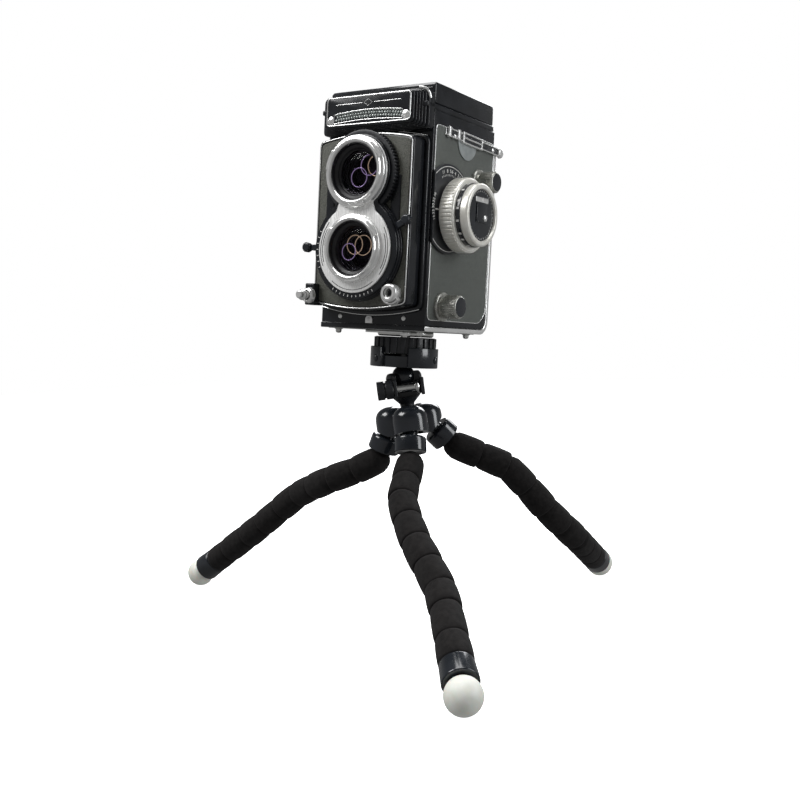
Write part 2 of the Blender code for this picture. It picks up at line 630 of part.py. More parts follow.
def make_crank(mats, frame, camera):
    """On the right-hand side: a round hub, an arm folded down along the body, and a turning grip."""
    y, z = CRANK_AXIS
    face = -BODY_HALF_WIDTH
    turn = Body("crank_turn", frame, (face, y, z), (-1, 0, 0), camera)
    place = moved(0, y, z) @ Matrix.Rotation(math.pi, 4, "Z") @ SIDE
    disc = turned([(0, -face + 0.4), (11, -face + 0.4), (11, -face + 3.4), (0, -face + 3.4)], 24, place)
    arm = prism(rounded_rectangle(-4.5, 4.5, -38, 6, 4.4), -face + 3.0, -face + 5.2, place)
    piece("crank_arm", disc, mats["chrome"], frame, turn, joined=(arm,))
    spin = Body("crank_grip_spin", frame, (face, y, z - 33.5), (-1, 0, 0), turn)
    grip = [(0, -face + 5.5), (4.2, -face + 5.5), (3.4, -face + 8.6), (4.2, -face + 13.6), (0, -face + 14.6)]
    piece("crank_grip", turned(grip, 14, place @ moved(0, -33.5, 0)), mats["plastic"], frame, spin)


def build():
    clear_scene()
    mats = make_materials()
    hub_at = moved(*HUB_AT, HUB_HEIGHT)
    hub_frame = hub_at @ leaning(*HUB_LEAN)
    root = Body("tripod", hub_at)
    starts = make_hub(mats, root, hub_frame)
    for leg, start in starts.items():
        make_leg(leg, mats, root, start)
    clamp_frame, swivel = make_clamp(mats, root, hub_frame)
    ball_at = hub_frame @ Vector((0, 0, BALL_ABOVE_HUB))
    camera_frame = moved(*ball_at) @ leaning(*CAMERA_LEAN) @ moved(-SCREW_AT[0], -SCREW_AT[1], -BALL_CENTRE)
    tilt = make_platform(mats, clamp_frame, swivel, camera_frame)
    make_door(mats, camera_frame, tilt)
    hinge_y, hinge_z = DOOR_HINGE
    camera = Body("camera_open", camera_frame, (0, hinge_y, hinge_z), (-1, 0, 0), tilt)
    make_shell(mats, camera_frame, camera)
    make_hood(mats, camera_frame, camera)
    make_front(mats, camera_frame, camera)
    make_side_controls(mats, camera_frame, camera)
    make_crank(mats, camera_frame, camera)


build()
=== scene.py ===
"""A twin-lens film camera on a small tripod with three flexible foam legs.

The sections follow the object as it is put together: the tripod's hub, its legs, its head, then the camera
from its back door to its knobs, and the studio last. Sizes are in millimetres, in the frame of the piece
that they belong to, and each piece is turned into metres when it is finished.
"""

import json
import math

import bmesh
import bpy
from mathutils import Matrix, Vector

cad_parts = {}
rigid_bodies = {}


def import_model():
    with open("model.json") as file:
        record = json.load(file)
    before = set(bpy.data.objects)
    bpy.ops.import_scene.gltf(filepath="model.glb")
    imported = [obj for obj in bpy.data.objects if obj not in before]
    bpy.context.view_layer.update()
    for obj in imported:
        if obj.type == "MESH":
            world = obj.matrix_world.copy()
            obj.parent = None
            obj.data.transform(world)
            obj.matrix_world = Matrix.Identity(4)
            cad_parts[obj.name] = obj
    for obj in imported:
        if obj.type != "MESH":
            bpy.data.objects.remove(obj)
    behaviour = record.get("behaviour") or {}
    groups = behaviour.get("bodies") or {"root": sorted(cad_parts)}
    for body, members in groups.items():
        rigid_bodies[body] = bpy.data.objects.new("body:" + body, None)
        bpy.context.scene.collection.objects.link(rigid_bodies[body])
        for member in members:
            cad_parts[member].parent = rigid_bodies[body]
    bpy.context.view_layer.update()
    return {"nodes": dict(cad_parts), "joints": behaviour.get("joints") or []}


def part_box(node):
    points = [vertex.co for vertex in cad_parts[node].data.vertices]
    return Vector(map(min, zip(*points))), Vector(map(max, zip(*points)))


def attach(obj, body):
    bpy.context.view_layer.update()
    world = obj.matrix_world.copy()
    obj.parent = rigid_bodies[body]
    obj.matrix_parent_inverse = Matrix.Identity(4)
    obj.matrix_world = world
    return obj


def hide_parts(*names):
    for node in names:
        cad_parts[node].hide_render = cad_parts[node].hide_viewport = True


for leftover in list(bpy.data.objects):
    bpy.data.objects.remove(leftover)

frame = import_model()

# --- Hub ---
# One gloss black moulding: three round lobes, each with a socket for a leg's first ball, round a core
# that ends in the neck which the head turns on. Moulded in ABS.

MM = 0.001
joints = {joint["name"]: joint for joint in frame["joints"]}


def pivot(joint):
    return Vector(joints[joint]["pos_m"]) / MM


def axis(joint):
    return Vector(joints[joint]["axis"]).normalized()


def stood(origin, up, across=None):
    """The frame at a point whose Z runs up, and whose X is as near as it can be to the direction across."""
    up = Vector(up).normalized()
    if across is None:
        turn = up.to_track_quat("Z", "Y").to_matrix()
    else:
        x = (across - up * across.dot(up)).normalized()
        turn = Matrix((x, up.cross(x), up)).transposed()
    return Matrix.Translation(origin) @ turn.to_4x4()


def moved(x=0, y=0, z=0):
    return Matrix.Translation((x, y, z))


def spun(degrees, about="Z"):
    return Matrix.Rotation(math.radians(degrees), 4, about)


GENTLE = math.radians(18)


def softened(points, radius, steps=4, ring=False):
    """The outline with its corners rounded, as a moulded or turned edge is. A ring is a closed outline.
    Points on a gentle curve stay as they are."""
    points = [Vector(point) for point in points]
    if ring:
        points = [points[-1], *points, points[0]]
    rounded = []
    for before, corner, after in zip(points, points[1:], points[2:]):
        if (corner - before).angle(after - corner) < GENTLE:
            rounded.append(corner)
            continue
        reach = min(radius, (corner - before).length * 0.48, (after - corner).length * 0.48)
        start = corner + (before - corner).normalized() * reach
        end = corner + (after - corner).normalized() * reach
        for i in range(steps + 1):
            t = i / steps
            rounded.append(start * (1 - t) ** 2 + corner * 2 * t * (1 - t) + end * t**2)
    return rounded if ring else [points[0], *rounded, points[-1]]


def turned(profile, sides=64, closed=False):
    """A profile of (radius, height) points turned round Z. Its ends lie on the axis, unless it is closed."""
    shape = bmesh.new()
    rings = []
    for radius, height in profile:
        if radius < 1e-6:
            rings.append([shape.verts.new((0, 0, height))] * sides)
            continue
        angles = [math.tau * i / sides for i in range(sides)]
        rings.append([shape.verts.new((radius * math.cos(a), radius * math.sin(a), height)) for a in angles])
    pairs = list(zip(rings, rings[1:]))
    if closed:
        pairs.append((rings[-1], rings[0]))
    for low, high in pairs:
        for i in range(sides):
            j = (i + 1) % sides
            corners = list(dict.fromkeys((low[i], low[j], high[j], high[i])))
            if len(corners) > 2:
                shape.faces.new(corners)
    return shape


def rod(radius, low, high, sides=48):
    """A plain round bar along Z, with flat ends."""
    return turned([(0, low), (radius, low), (radius, high), (0, high)], sides)


def at(place, shape):
    """The shape, put in its place."""
    shape.transform(place)
    return shape


def outwards(shape):
    """Turns the faces of a closed shape outwards."""
    bmesh.ops.recalc_face_normals(shape, faces=shape.faces)
    if shape.calc_volume(signed=True) < 0:
        bmesh.ops.reverse_faces(shape, faces=shape.faces)


def as_object(name, shape):
    """A shape as an object in the scene, with its faces turned outwards."""
    outwards(shape)
    mesh = bpy.data.meshes.new(name)
    shape.to_mesh(mesh)
    shape.free()
    made = bpy.data.objects.new(name, mesh)
    bpy.context.scene.collection.objects.link(made)
    return made


def as_shape(made, *helpers):
    """The evaluated mesh of an object, which goes away with its helpers."""
    mesh = bpy.data.meshes.new_from_object(made.evaluated_get(bpy.context.evaluated_depsgraph_get()))
    shape = bmesh.new()
    shape.from_mesh(mesh)
    for helper in (made, *helpers):
        bpy.data.objects.remove(helper)
    return shape


def carved(shape, cuts=(), joined=()):
    """The shape with others joined to it, and then others cut out of it."""
    made = as_object("blank", shape)
    helpers = []
    for operation, shapes in (("UNION", joined), ("DIFFERENCE", cuts)):
        for other in shapes:
            helpers.append(as_object("tool", other))
            change = made.modifiers.new("change", "BOOLEAN")
            change.operation = operation
            change.solver = "EXACT"
            change.object = helpers[-1]
    shape = as_shape(made, *helpers)
    bmesh.ops.remove_doubles(shape, verts=shape.verts, dist=0.004)
    return shape


def piece(name, shapes, finish, body, place=None, stands_for=()):
    """A finished piece: shapes in a frame, made one mesh in metres, on the body that it moves with."""
    whole = bmesh.new()
    mesh = bpy.data.meshes.new(name)
    for shape in shapes if isinstance(shapes, (list, tuple)) else (shapes,):
        shape.transform(place or Matrix())
        outwards(shape)
        shape.to_mesh(mesh)
        shape.free()
        whole.from_mesh(mesh)
    whole.transform(Matrix.Scale(MM, 4))
    whole.to_mesh(mesh)
    whole.free()
    mesh.materials.clear()
    mesh.materials.append(finish)
    mesh.polygons.foreach_set("material_index", [0] * len(mesh.polygons))
    mesh.shade_smooth()
    mesh.set_sharp_from_angle(angle=math.radians(38))
    made = bpy.data.objects.new(name, mesh)
    bpy.context.scene.collection.objects.link(made)
    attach(made, body)
    if stands_for:
        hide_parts(*stands_for)
    return made


def node(tree, kind, settings=(), **sockets):
    """A node with its settings made and its sockets set or linked."""
    made = tree.nodes.new(kind)
    for setting, value in dict(settings).items():
        setattr(made, setting, value)
    for name, value in sockets.items():
        socket = made.inputs[name.replace("_", " ")]
        if isinstance(value, bpy.types.NodeSocket):
            tree.links.new(value, socket)
        else:
            socket.default_value = value
    return made


def finish(name, slot, color, roughness, metallic=0.0, **settings):
    """A new material on a slot of the record, with the numbers that are the same all over the piece."""
    material = bpy.data.materials.new(name)
    material.use_nodes = True
    material["slot"] = slot
    shader = material.node_tree.nodes["Principled BSDF"]
    shader.inputs["Base Color"].default_value = (*color, 1)
    shader.inputs["Roughness"].default_value = roughness
    shader.inputs["Metallic"].default_value = metallic
    for setting, value in settings.items():
        shader.inputs[setting.replace("_", " ")].default_value = value
    return material


def noise(material, size, detail=3, stretch=(1, 1, 1)):
    """A noise on the piece's own coordinates, with blobs about size millimetres across."""
    tree = material.node_tree
    place = node(tree, "ShaderNodeTexCoord")
    scaled = node(tree, "ShaderNodeMapping", Vector=place.outputs["Object"], Scale=stretch)
    made = node(tree, "ShaderNodeTexNoise", Vector=scaled.outputs[0], Scale=1 / (size * MM), Detail=detail)
    return made.outputs["Fac"]


def shaded(material, factor, dark, light, low=0.3, high=0.7):
    """Colours the piece from dark to light as the factor goes from low to high."""
    tree = material.node_tree
    ramp = node(tree, "ShaderNodeValToRGB", Fac=factor)
    for stop, place, color in zip(ramp.color_ramp.elements, (low, high), (dark, light)):
        stop.position = place
        stop.color = (*color, 1)
    tree.links.new(ramp.outputs[0], tree.nodes["Principled BSDF"].inputs["Base Color"])


def uneven(material, factor, smooth, rough):
    """Roughness that wanders between two values."""
    tree = material.node_tree
    spread = node(tree, "ShaderNodeMapRange", Value=factor)
    for socket, value in zip(spread.inputs[1:5], (0.3, 0.7, smooth, rough)):
        socket.default_value = value
    tree.links.new(spread.outputs[0], tree.nodes["Principled BSDF"].inputs["Roughness"])


def embossed(material, height, depth, strength=1.0):
    """A relief of that many millimetres."""
    tree = material.node_tree
    shader = tree.nodes["Principled BSDF"]
    bump = node(tree, "ShaderNodeBump", Height=height, Distance=depth * MM, Strength=strength)
    tree.links.new(bump.outputs[0], shader.inputs["Normal"])
    return bump


gloss_plastic = finish("gloss_black_plastic", "black_plastic", (0.012, 0.014, 0.017), 0.16, Coat_Weight=0.3)
shaded(gloss_plastic, noise(gloss_plastic, 14), (0.008, 0.010, 0.013), (0.016, 0.019, 0.024))
uneven(gloss_plastic, noise(gloss_plastic, 5), 0.12, 0.24)
embossed(gloss_plastic, noise(gloss_plastic, 9, 1), 0.02, 0.5)

# Each leg's mouth in the hub: its compass direction and droop, and its depth from the ball's centre.
MOUTHS = {"front": (32.0, 75.0, 7.2), "left": (-80.0, 70.0, 7.2), "right": (145.0, 52.0, 5.8)}
LEGS = tuple(MOUTHS)
HUB_BELOW_BALL = 34.0
LOBE_CENTRE_RADIUS = 12.0
SEAT_RADIUS, WAY_OUT = 8.7, 7.6


def heading(compass, droop):
    """The direction that points to a compass angle (0 is -Y, 90 is +X), drooping below the horizon."""
    a, d = math.radians(compass), math.radians(droop)
    return Vector((math.sin(a) * math.cos(d), -math.cos(a) * math.cos(d), -math.sin(d)))


hub_up = axis("head_swivel")
ball_at = pivot("ball_tilt")
hub_lean = Vector((0, 0, 1)).rotation_difference(hub_up).to_matrix().to_4x4()
hub = moved(*(ball_at - hub_up * HUB_BELOW_BALL)) @ hub_lean
dome = [(11.3, -3.4), (11.3, 7), (11.0, 9.5), (9.8, 12.1), (7.5, 14.1), (4.4, 15.2), (0, 15.5)]
lobe_outline = [(0, -3.4), (10.6, -3.4), (11.3, -2.7), *softened(dome, 3)[1:]]
lobes, openings = [], []
for leg, (compass, droop, depth) in MOUTHS.items():
    root = hub.inverted() @ pivot(f"leg_{leg}_collar_bend")
    radial = Vector((root.x, root.y, 0)).normalized()
    lobes.append(at(moved(*radial * LOBE_CENTRE_RADIUS), turned(lobe_outline, 72)))
    mouth = stood(root, heading(compass, droop))
    openings.append(at(mouth, rod(12.5, depth, depth + 16, 64)))
    start = math.asin(WAY_OUT / SEAT_RADIUS)
    polar = [math.pi + (start - math.pi) * i / 14 for i in range(15)]
    seat = [(SEAT_RADIUS * math.sin(a), SEAT_RADIUS * math.cos(a)) for a in polar] + [(WAY_OUT, 12), (0, 12)]
    openings.append(at(mouth, turned(seat, 56)))
core = turned(softened([(0, 14.2), (4.4, 14.2), (6, 12.5), (9, 8), (9.5, -2.5), (0, -2.5)], 0.8), 72)
piece("hub_moulding", carved(core, openings, lobes), gloss_plastic, "tripod_hub", hub, ["hub"])

# --- Leg collars ---
# The first joint of each leg: a ball that sits in the hub's socket, and a short gloss black sleeve that
# the foam starts from. Injection moulded.

COLLAR_BALL = 8.2
for leg in LEGS:
    root, knee = pivot(f"leg_{leg}_collar_bend"), pivot(f"leg_{leg}_foam_1_bend")
    polar = [math.pi * i / 24 for i in range(19)]
    ball = [(COLLAR_BALL * math.sin(a), -COLLAR_BALL * math.cos(a)) for a in polar]
    sleeve = [(4.6, 7), (4.6, 9.7), (9.1, 9.7), (10.1, 10.9), (10.3, 19.2), (9.9, 19.7), (9.0, 19.7)]
    sleeve = softened([*sleeve, (7.9, 18.5), (0, 18.5)], 0.7)
    piece(
        f"leg_{leg}_sleeve", turned(ball + sleeve), gloss_plastic, f"leg_{leg}_collar",
        stood(root, knee - root), [f"leg_{leg}_collar"],
    )

# --- Foam legs ---
# Nine foam rings slide over the ball joints of each leg, pressed end to end. Black closed-cell foam with
# a dull cut skin, a little wider at the lower end of each ring.


def tree_of(name, inputs):
    """A Geometry Nodes tree with these named inputs, a mesh in and a finish. It gives its inputs back too."""
    tree = bpy.data.node_groups.new(name, "GeometryNodeTree")
    kinds = {"Geometry": "Geometry", **inputs, "Finish": "Material"}
    for socket, kind in kinds.items():
        tree.interface.new_socket(socket, in_out="INPUT", socket_type=f"NodeSocket{kind}")
    tree.interface.new_socket("Geometry", in_out="OUTPUT", socket_type="NodeSocketGeometry")
    return tree, tree.nodes.new("NodeGroupInput").outputs


def closes(tree, inputs, geometry):
    """Ends a tree: the copies made real, and the finish set."""
    real = node(tree, "GeometryNodeRealizeInstances", Geometry=geometry)
    coated = node(tree, "GeometryNodeSetMaterial", Geometry=real.outputs[0], Material=inputs["Finish"])
    tree.links.new(coated.outputs[0], tree.nodes.new("NodeGroupOutput").inputs[0])


def grown(tree, coat, values, base=None):
    """What a tree makes from these values, as a plain shape."""
    carrier = as_object(tree.name, base or bmesh.new()) if not isinstance(base, bpy.types.Object) else base
    helpers = []
    change = carrier.modifiers.new("make", "NODES")
    change.node_group = tree
    values = {**values, "Finish": coat}
    for socket in tree.interface.items_tree:
        if socket.in_out == "INPUT" and socket.name in values:
            value = values[socket.name]
            if isinstance(value, bmesh.types.BMesh):
                value = as_object("copied", value)
                helpers.append(value)
            change[socket.identifier] = value
    return as_shape(carrier, *helpers)


rings_tree, entry = tree_of("rings_on_a_leg", {"Shape": "Object", "Pitch": "Float", "Seed": "Int"})
way_on = node(rings_tree, "GeometryNodeInputNamedAttribute", {"data_type": "FLOAT_VECTOR"}, Name="heading")
length = node(rings_tree, "ShaderNodeVectorMath", {"operation": "LENGTH"})
rings_tree.links.new(way_on.outputs[0], length.inputs[0])
stretch = node(rings_tree, "ShaderNodeMath", {"operation": "DIVIDE"})
rings_tree.links.new(length.outputs["Value"], stretch.inputs[0])
rings_tree.links.new(entry["Pitch"], stretch.inputs[1])
swell = node(rings_tree, "FunctionNodeRandomValue", {"data_type": "FLOAT"}, Seed=entry["Seed"])
swell.inputs[2].default_value, swell.inputs[3].default_value = 0.985, 1.015
scale = node(rings_tree, "ShaderNodeCombineXYZ", X=swell.outputs[1], Y=swell.outputs[1], Z=stretch.outputs[0])
aim = node(rings_tree, "FunctionNodeAlignRotationToVector", {"axis": "Z"}, Vector=way_on.outputs[0])
shape = node(rings_tree, "GeometryNodeObjectInfo", Object=entry["Shape"])
copies = node(
    rings_tree, "GeometryNodeInstanceOnPoints", Points=entry["Geometry"], Instance=shape.outputs["Geometry"],
    Rotation=aim.outputs[0], Scale=scale.outputs[0],
)
closes(rings_tree, entry, copies.outputs[0])

foam = finish(
    "black_foam_skin", "black_foam", (0.012, 0.011, 0.011), 0.95, Specular_IOR_Level=0.14, Sheen_Weight=0.03,
    Sheen_Roughness=0.6,
)
shaded(foam, noise(foam, 3.2, 6), (0.0062, 0.0056, 0.0056), (0.0135, 0.0122, 0.0120))
on_foam = node(foam.node_tree, "ShaderNodeTexCoord")
cells = node(
    foam.node_tree, "ShaderNodeTexVoronoi", Vector=on_foam.outputs["Object"], Scale=1 / (0.42 * MM),
)
pores = embossed(foam, cells.outputs["Distance"], 0.16, 0.55)
dents = node(foam.node_tree, "ShaderNodeBump", Height=noise(foam, 6, 2), Distance=0.5 * MM, Strength=0.45)
foam.node_tree.links.new(dents.outputs[0], pores.inputs["Normal"])

FOAM_PITCH = 19.4
RINGS_PER_SECTION = (2, 2, 2, 3)
FOOT_RADIUS = 9.8
SLACK = 0.55
FOAM_RING = [
    (0, -6.6), (3.2, -6.0), (6.0, -4.2), (7.7, -1.6), (8.3, 0.1), (8.75, 0.8), (9.0, 2.2), (9.2, 5),
    (9.35, 9), (9.4, 13), (9.35, 16), (9.1, 17.9), (8.6, 18.8), (7.6, 19.15), (4, 18.9), (0, 18.8),
]


def leg_path(leg):
    """The ends of a leg's foam rings, on one smooth curve through its joints, with the curve's direction."""
    knees = [pivot(f"leg_{leg}_foam_{i}_bend") for i in (1, 2, 3, 4)]
    low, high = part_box(f"leg_{leg}_foot")
    foot = Vector(((low.x + high.x) / 2, (low.y + high.y) / 2, high.z)) / MM - Vector((0, 0, FOOT_RADIUS))
    last = (foot - knees[-1]).normalized()
    knees.append(knees[-1] + last * FOAM_PITCH * RINGS_PER_SECTION[-1])
    steps = [knees[0] - pivot(f"leg_{leg}_collar_bend")]
    steps += [after - before for before, after in zip(knees, knees[1:])]
    slopes = [(a.normalized() + b.normalized()).normalized() for a, b in zip(steps, steps[1:])]
    slopes.append(last)
    sections = []
    for i, count in enumerate(RINGS_PER_SECTION):
        start, end, span = knees[i], knees[i + 1], (knees[i + 1] - knees[i]).length
        points = []
        for j in range(count + 1):
            t = j / count
            ease = 3 * t**2 - 2 * t**3
            bend = slopes[i] * (t**3 - 2 * t**2 + t) + slopes[i + 1] * (t**3 - t**2)
            points.append(start * (1 - ease) + end * ease + bend * span * SLACK)
        sections.append(points)
    return sections, foot, last


leg_ends = {}
for number, leg in enumerate(LEGS):
    sections, foot, last = leg_path(leg)
    leg_ends[leg] = (foot, last)
    for i, points in enumerate(sections, 1):
        starts = bmesh.new()
        for point in points[:-1]:
            starts.verts.new(point)
        carrier = as_object("starts", starts)
        aims = carrier.data.attributes.new("heading", "FLOAT_VECTOR", "POINT")
        for j, (start, end) in enumerate(zip(points, points[1:])):
            aims.data[j].vector = end - start
        one_ring = turned(softened(FOAM_RING, 0.5, 2), 48)
        values = {"Shape": one_ring, "Pitch": FOAM_PITCH, "Seed": 10 * number + i}
        rings = grown(rings_tree, foam, values, carrier)
        name = f"leg_{leg}_foam_{i}"
        section = piece(f"leg_{leg}_rings_{i}", rings, foam, name, None, [name])

# --- Leg ends ---
# A gloss black cap closes each leg, and holds a ball foot of matt white rubber that grips the table.

rubber = finish(
    "white_rubber_skin", "white_rubber", (0.72, 0.73, 0.67), 0.5, Subsurface_Weight=0.15,
    Subsurface_Scale=2 * MM,
)
shaded(rubber, noise(rubber, 7), (0.66, 0.675, 0.61), (0.76, 0.77, 0.72))
uneven(rubber, noise(rubber, 3), 0.42, 0.58)
embossed(rubber, noise(rubber, 0.5), 0.05, 0.4)

FOOT_BEYOND_CAP = 8.0
CAP_LENGTH = 13.0
FOOT_FLAT = 9.4
flat = math.acos(FOOT_FLAT / FOOT_RADIUS)
polar = [(math.pi - flat) * i / 40 for i in range(41)]
ball = [(FOOT_RADIUS * math.sin(a), FOOT_RADIUS * math.cos(a)) for a in polar] + [(0, -FOOT_FLAT)]
cap = [(0, -0.5), (8.2, -0.5), (9.25, 0.3), (9.75, 12.4), (9.4, 13), (8.6, 13), (5, 12), (0, 12)]
for leg, (foot, last) in leg_ends.items():
    body = f"leg_{leg}_foam_4"
    start = stood(foot - last * (CAP_LENGTH + FOOT_BEYOND_CAP), last)
    piece(f"leg_{leg}_end", turned(softened(cap, 0.5)), gloss_plastic, body, start, [f"leg_{leg}_cap"])
    piece(f"leg_{leg}_ball", turned(ball, 72), rubber, body, moved(*foot), [f"leg_{leg}_foot"])

# --- Clamp ---
# The split housing that grips the head's ball. It turns on the hub, and a chrome bolt with a stepped
# black thumb knob squeezes it shut. Glass-filled nylon, slightly duller than the hub.

satin_plastic = finish("satin_black_plastic", "black_plastic", (0.014, 0.015, 0.017), 0.34)
shaded(satin_plastic, noise(satin_plastic, 6), (0.010, 0.011, 0.013), (0.021, 0.023, 0.027))
uneven(satin_plastic, noise(satin_plastic, 2.5), 0.28, 0.42)
embossed(satin_plastic, noise(satin_plastic, 0.4), 0.03, 0.35)

chrome = finish("satin_chrome_metal", "satin_chrome", (0.78, 0.78, 0.76), 0.2, 1.0)
shaded(chrome, noise(chrome, 9, 4), (0.66, 0.66, 0.64), (0.84, 0.84, 0.82))
uneven(chrome, noise(chrome, 2.2, 5), 0.12, 0.26)
embossed(chrome, noise(chrome, 0.35, 2), 0.012, 0.4)

ALONG_X = Matrix(((0, 0, 1, 0), (1, 0, 0, 0), (0, 1, 0, 0), (0, 0, 0, 1)))
BALL_RADIUS = 7.6
BOLT = (0, -9.4, -7.0)
clamp = stood(ball_at, hub_up, axis("ball_tilt"))


SOFT_STEPS = 3


def inset(outline):
    """How each point of a closed flat outline moves inwards as its sides move in by one millimetre."""
    points = [Vector(point) for point in outline]
    area = sum(a.x * b.y - b.x * a.y for a, b in zip(points, [*points[1:], points[0]]))
    moves = []
    for before, corner, after in zip([points[-1], *points], points, [*points[1:], points[0]]):
        sides = [(corner - before).normalized(), (after - corner).normalized()]
        sides = [Vector((-side.y, side.x)) * math.copysign(1, area) for side in sides]
        middle = sides[0] + sides[1]
        moves.append(middle / max(0.3, middle.dot(sides[0])))
    return list(zip(points, moves))


def prism(outline, low, high, soft=0.0, ends=(True, True)):
    """A flat outline raised from low to high along Z, with its upper and lower edges rounded if soft."""
    shape = bmesh.new()
    levels = [(0, low)] if not (soft and ends[0]) else []
    if soft:
        turns = [math.pi / 2 * i / SOFT_STEPS for i in range(SOFT_STEPS + 1)]
        curve = [(soft * (1 - math.sin(turn)), soft * (1 - math.cos(turn))) for turn in turns]
        levels += [(step, low + rise) for step, rise in curve] if ends[0] else []
        levels += [(step, high - rise) for step, rise in reversed(curve)] if ends[1] else []
    levels += [(0, high)] if not (soft and ends[1]) else []
    path = inset(outline)
    rings = [[shape.verts.new((*(point + move * step), z)) for point, move in path] for step, z in levels]
    for under, over in zip(rings, rings[1:]):
        for i in range(len(path)):
            j = (i + 1) % len(path)
            shape.faces.new((under[i], under[j], over[j], over[i]))
    shape.faces.new(rings[0][::-1])
    shape.faces.new(rings[-1])
    return shape


def block(x0, x1, y0, y1, z0, z1, soft=0.0):
    shape = prism(((x0, y0), (x1, y0), (x1, y1), (x0, y1)), z0, z1)
    if soft:
        bmesh.ops.bevel(shape, geom=shape.edges[:], offset=soft, segments=3, profile=0.5, affect="EDGES")
    return shape


def arc(centre, radius, start, end, steps):
    """Points on a circle, from one angle to another in degrees."""
    angles = [math.radians(start + (end - start) * i / steps) for i in range(steps + 1)]
    return [(centre[0] + radius * math.cos(a), centre[1] + radius * math.sin(a)) for a in angles]


BOLT_Z = BOLT[2]
cup = [(0, -19.5), (4.6, -19.5), (4.6, -17.5), (8.5, -13.5), (11, -10.5), (11.6, -8), (11.6, 0.6)]
cup = turned(softened([*cup, (10.2, 3), (0, 3)], 1.0), 72)
bolt_place = moved(*BOLT) @ ALONG_X
room = [(BALL_RADIUS + 0.3) * math.cos(math.pi * i / 20) for i in range(21)]
room = [(math.sqrt(max(0, (BALL_RADIUS + 0.3) ** 2 - z * z)), z) for z in reversed(room)]
ears = [block(x, x + 2.2, -13.2, 0, BOLT_Z - 5.5, BOLT_Z + 5.5, 0.5) for x in (-7.4, 10.0)]
openings = [turned(room, 48), block(-5, 9.8, -20, -4.2, BOLT_Z - 6, 10), at(bolt_place, rod(3.2, -9, 0, 32))]
openings.append(block(-20, -7.5, -20, -2.5, BOLT_Z - 7, BOLT_Z + 7))
piece("clamp_cup", carved(cup, openings, ears), satin_plastic, "head", clamp, ["clamp_housing"])
bolt = softened([(0, -11), (2.9, -11), (2.9, 6.6), (4.4, 6.6), (4.4, 8.2), (3.4, 9.4), (0, 9.6)], 0.5)
bolt_shape = carved(turned(bolt, 40), [block(-0.5, 0.5, -5, 5, 8.7, 12)])
piece("clamp_bolt_turned", bolt_shape, chrome, "clamp_knob", clamp @ bolt_place, ["clamp_bolt"])
thumb = [(0, -18), (6, -18), (6, -13.4), (5, -13.4), (5, -12.4), (6, -12.4), (6, -7.8), (3.2, -7.8)]
thumb = turned(softened([*thumb, (3.2, -11.3), (0, -11.3)], 0.35), 64)
piece("clamp_thumb_knob", thumb, satin_plastic, "clamp_knob", clamp @ bolt_place, ["clamp_knob"])

# --- Head ---
# The ball and its stem carry a ribbed platform, and a lock ring with three grips turns below it to hold
# the tripod screw in the camera. The grips each have a small round button.

across, inward = -axis("camera_open"), -axis("lens_board_slide")
camera = stood((0, 0, 0), across.cross(inward), across)
camera.translation = pivot("camera_open") - camera @ Vector((0, 79.6, 119.2))
SCREW_AT = (2.0, 36.0)
BALL_CENTRE = -29.5
screw = camera @ moved(*SCREW_AT)
STEM_RADIUS = 4.6
polar = [math.pi * i / 36 for i in range(37)]
ball = [(BALL_RADIUS * math.sin(a), BALL_CENTRE - BALL_RADIUS * math.cos(a)) for a in polar]
ball = [(radius, z) for radius, z in ball if z < BALL_CENTRE or radius > STEM_RADIUS]
stem = ball + [(STEM_RADIUS, -14.3), (8.2, -14.3), (8.2, -11.8), (0, -11.8)]
piece("ball_and_stem", turned(stem, 64), gloss_plastic, "ball", screw, ["ball_stem"])

RIBS = 24
circle_tree, entry = tree_of(
    "copies_on_a_circle",
    {"Shape": "Object", "Count": "Int", "Radius": "Float", "Start": "Float", "Step": "Float"},
)
number = node(circle_tree, "GeometryNodeInputIndex").outputs[0]
angle = node(circle_tree, "ShaderNodeMath", {"operation": "MULTIPLY_ADD"})
for socket, source in zip(angle.inputs, (number, entry["Step"], entry["Start"])):
    circle_tree.links.new(source, socket)
reaches = []
for operation in ("COSINE", "SINE"):
    part = node(circle_tree, "ShaderNodeMath", {"operation": operation})
    circle_tree.links.new(angle.outputs[0], part.inputs[0])
    reach = node(circle_tree, "ShaderNodeMath", {"operation": "MULTIPLY"})
    circle_tree.links.new(part.outputs[0], reach.inputs[0])
    circle_tree.links.new(entry["Radius"], reach.inputs[1])
    reaches.append(reach.outputs[0])
place = node(circle_tree, "ShaderNodeCombineXYZ", X=reaches[0], Y=reaches[1])
points = node(circle_tree, "GeometryNodePoints", Count=entry["Count"], Position=place.outputs[0])
turn = node(circle_tree, "ShaderNodeCombineXYZ", Z=angle.outputs[0])
turn = node(circle_tree, "FunctionNodeEulerToRotation", Euler=turn.outputs[0])
shape = node(circle_tree, "GeometryNodeObjectInfo", Object=entry["Shape"])
copies = node(
    circle_tree, "GeometryNodeInstanceOnPoints", Points=points.outputs[0], Instance=shape.outputs["Geometry"],
    Rotation=turn.outputs[0],
)
closes(circle_tree, entry, copies.outputs[0])


def round_about(shape, coat, count, radius, start=0.0, step=None):
    """Copies of a shape on a circle round Z, from an angle on, in degrees. Its X points outwards."""
    step = 360 / count if step is None else step
    values = {
        "Shape": shape, "Count": count, "Radius": float(radius),
        "Start": math.radians(start), "Step": math.radians(step),
    }
    return grown(circle_tree, coat, values)


disc = turned(softened([(0, -4), (19, -4), (19, -14.5), (0, -14.5)], 0.4), 96)
rib = block(-1, 1, -1.35, 1.35, -14.4, -4.3, 0.35)
ribs = round_about(rib, satin_plastic, RIBS, 19)
piece("platform", [disc, ribs], satin_plastic, "ball", screw, ["platform_disc"])

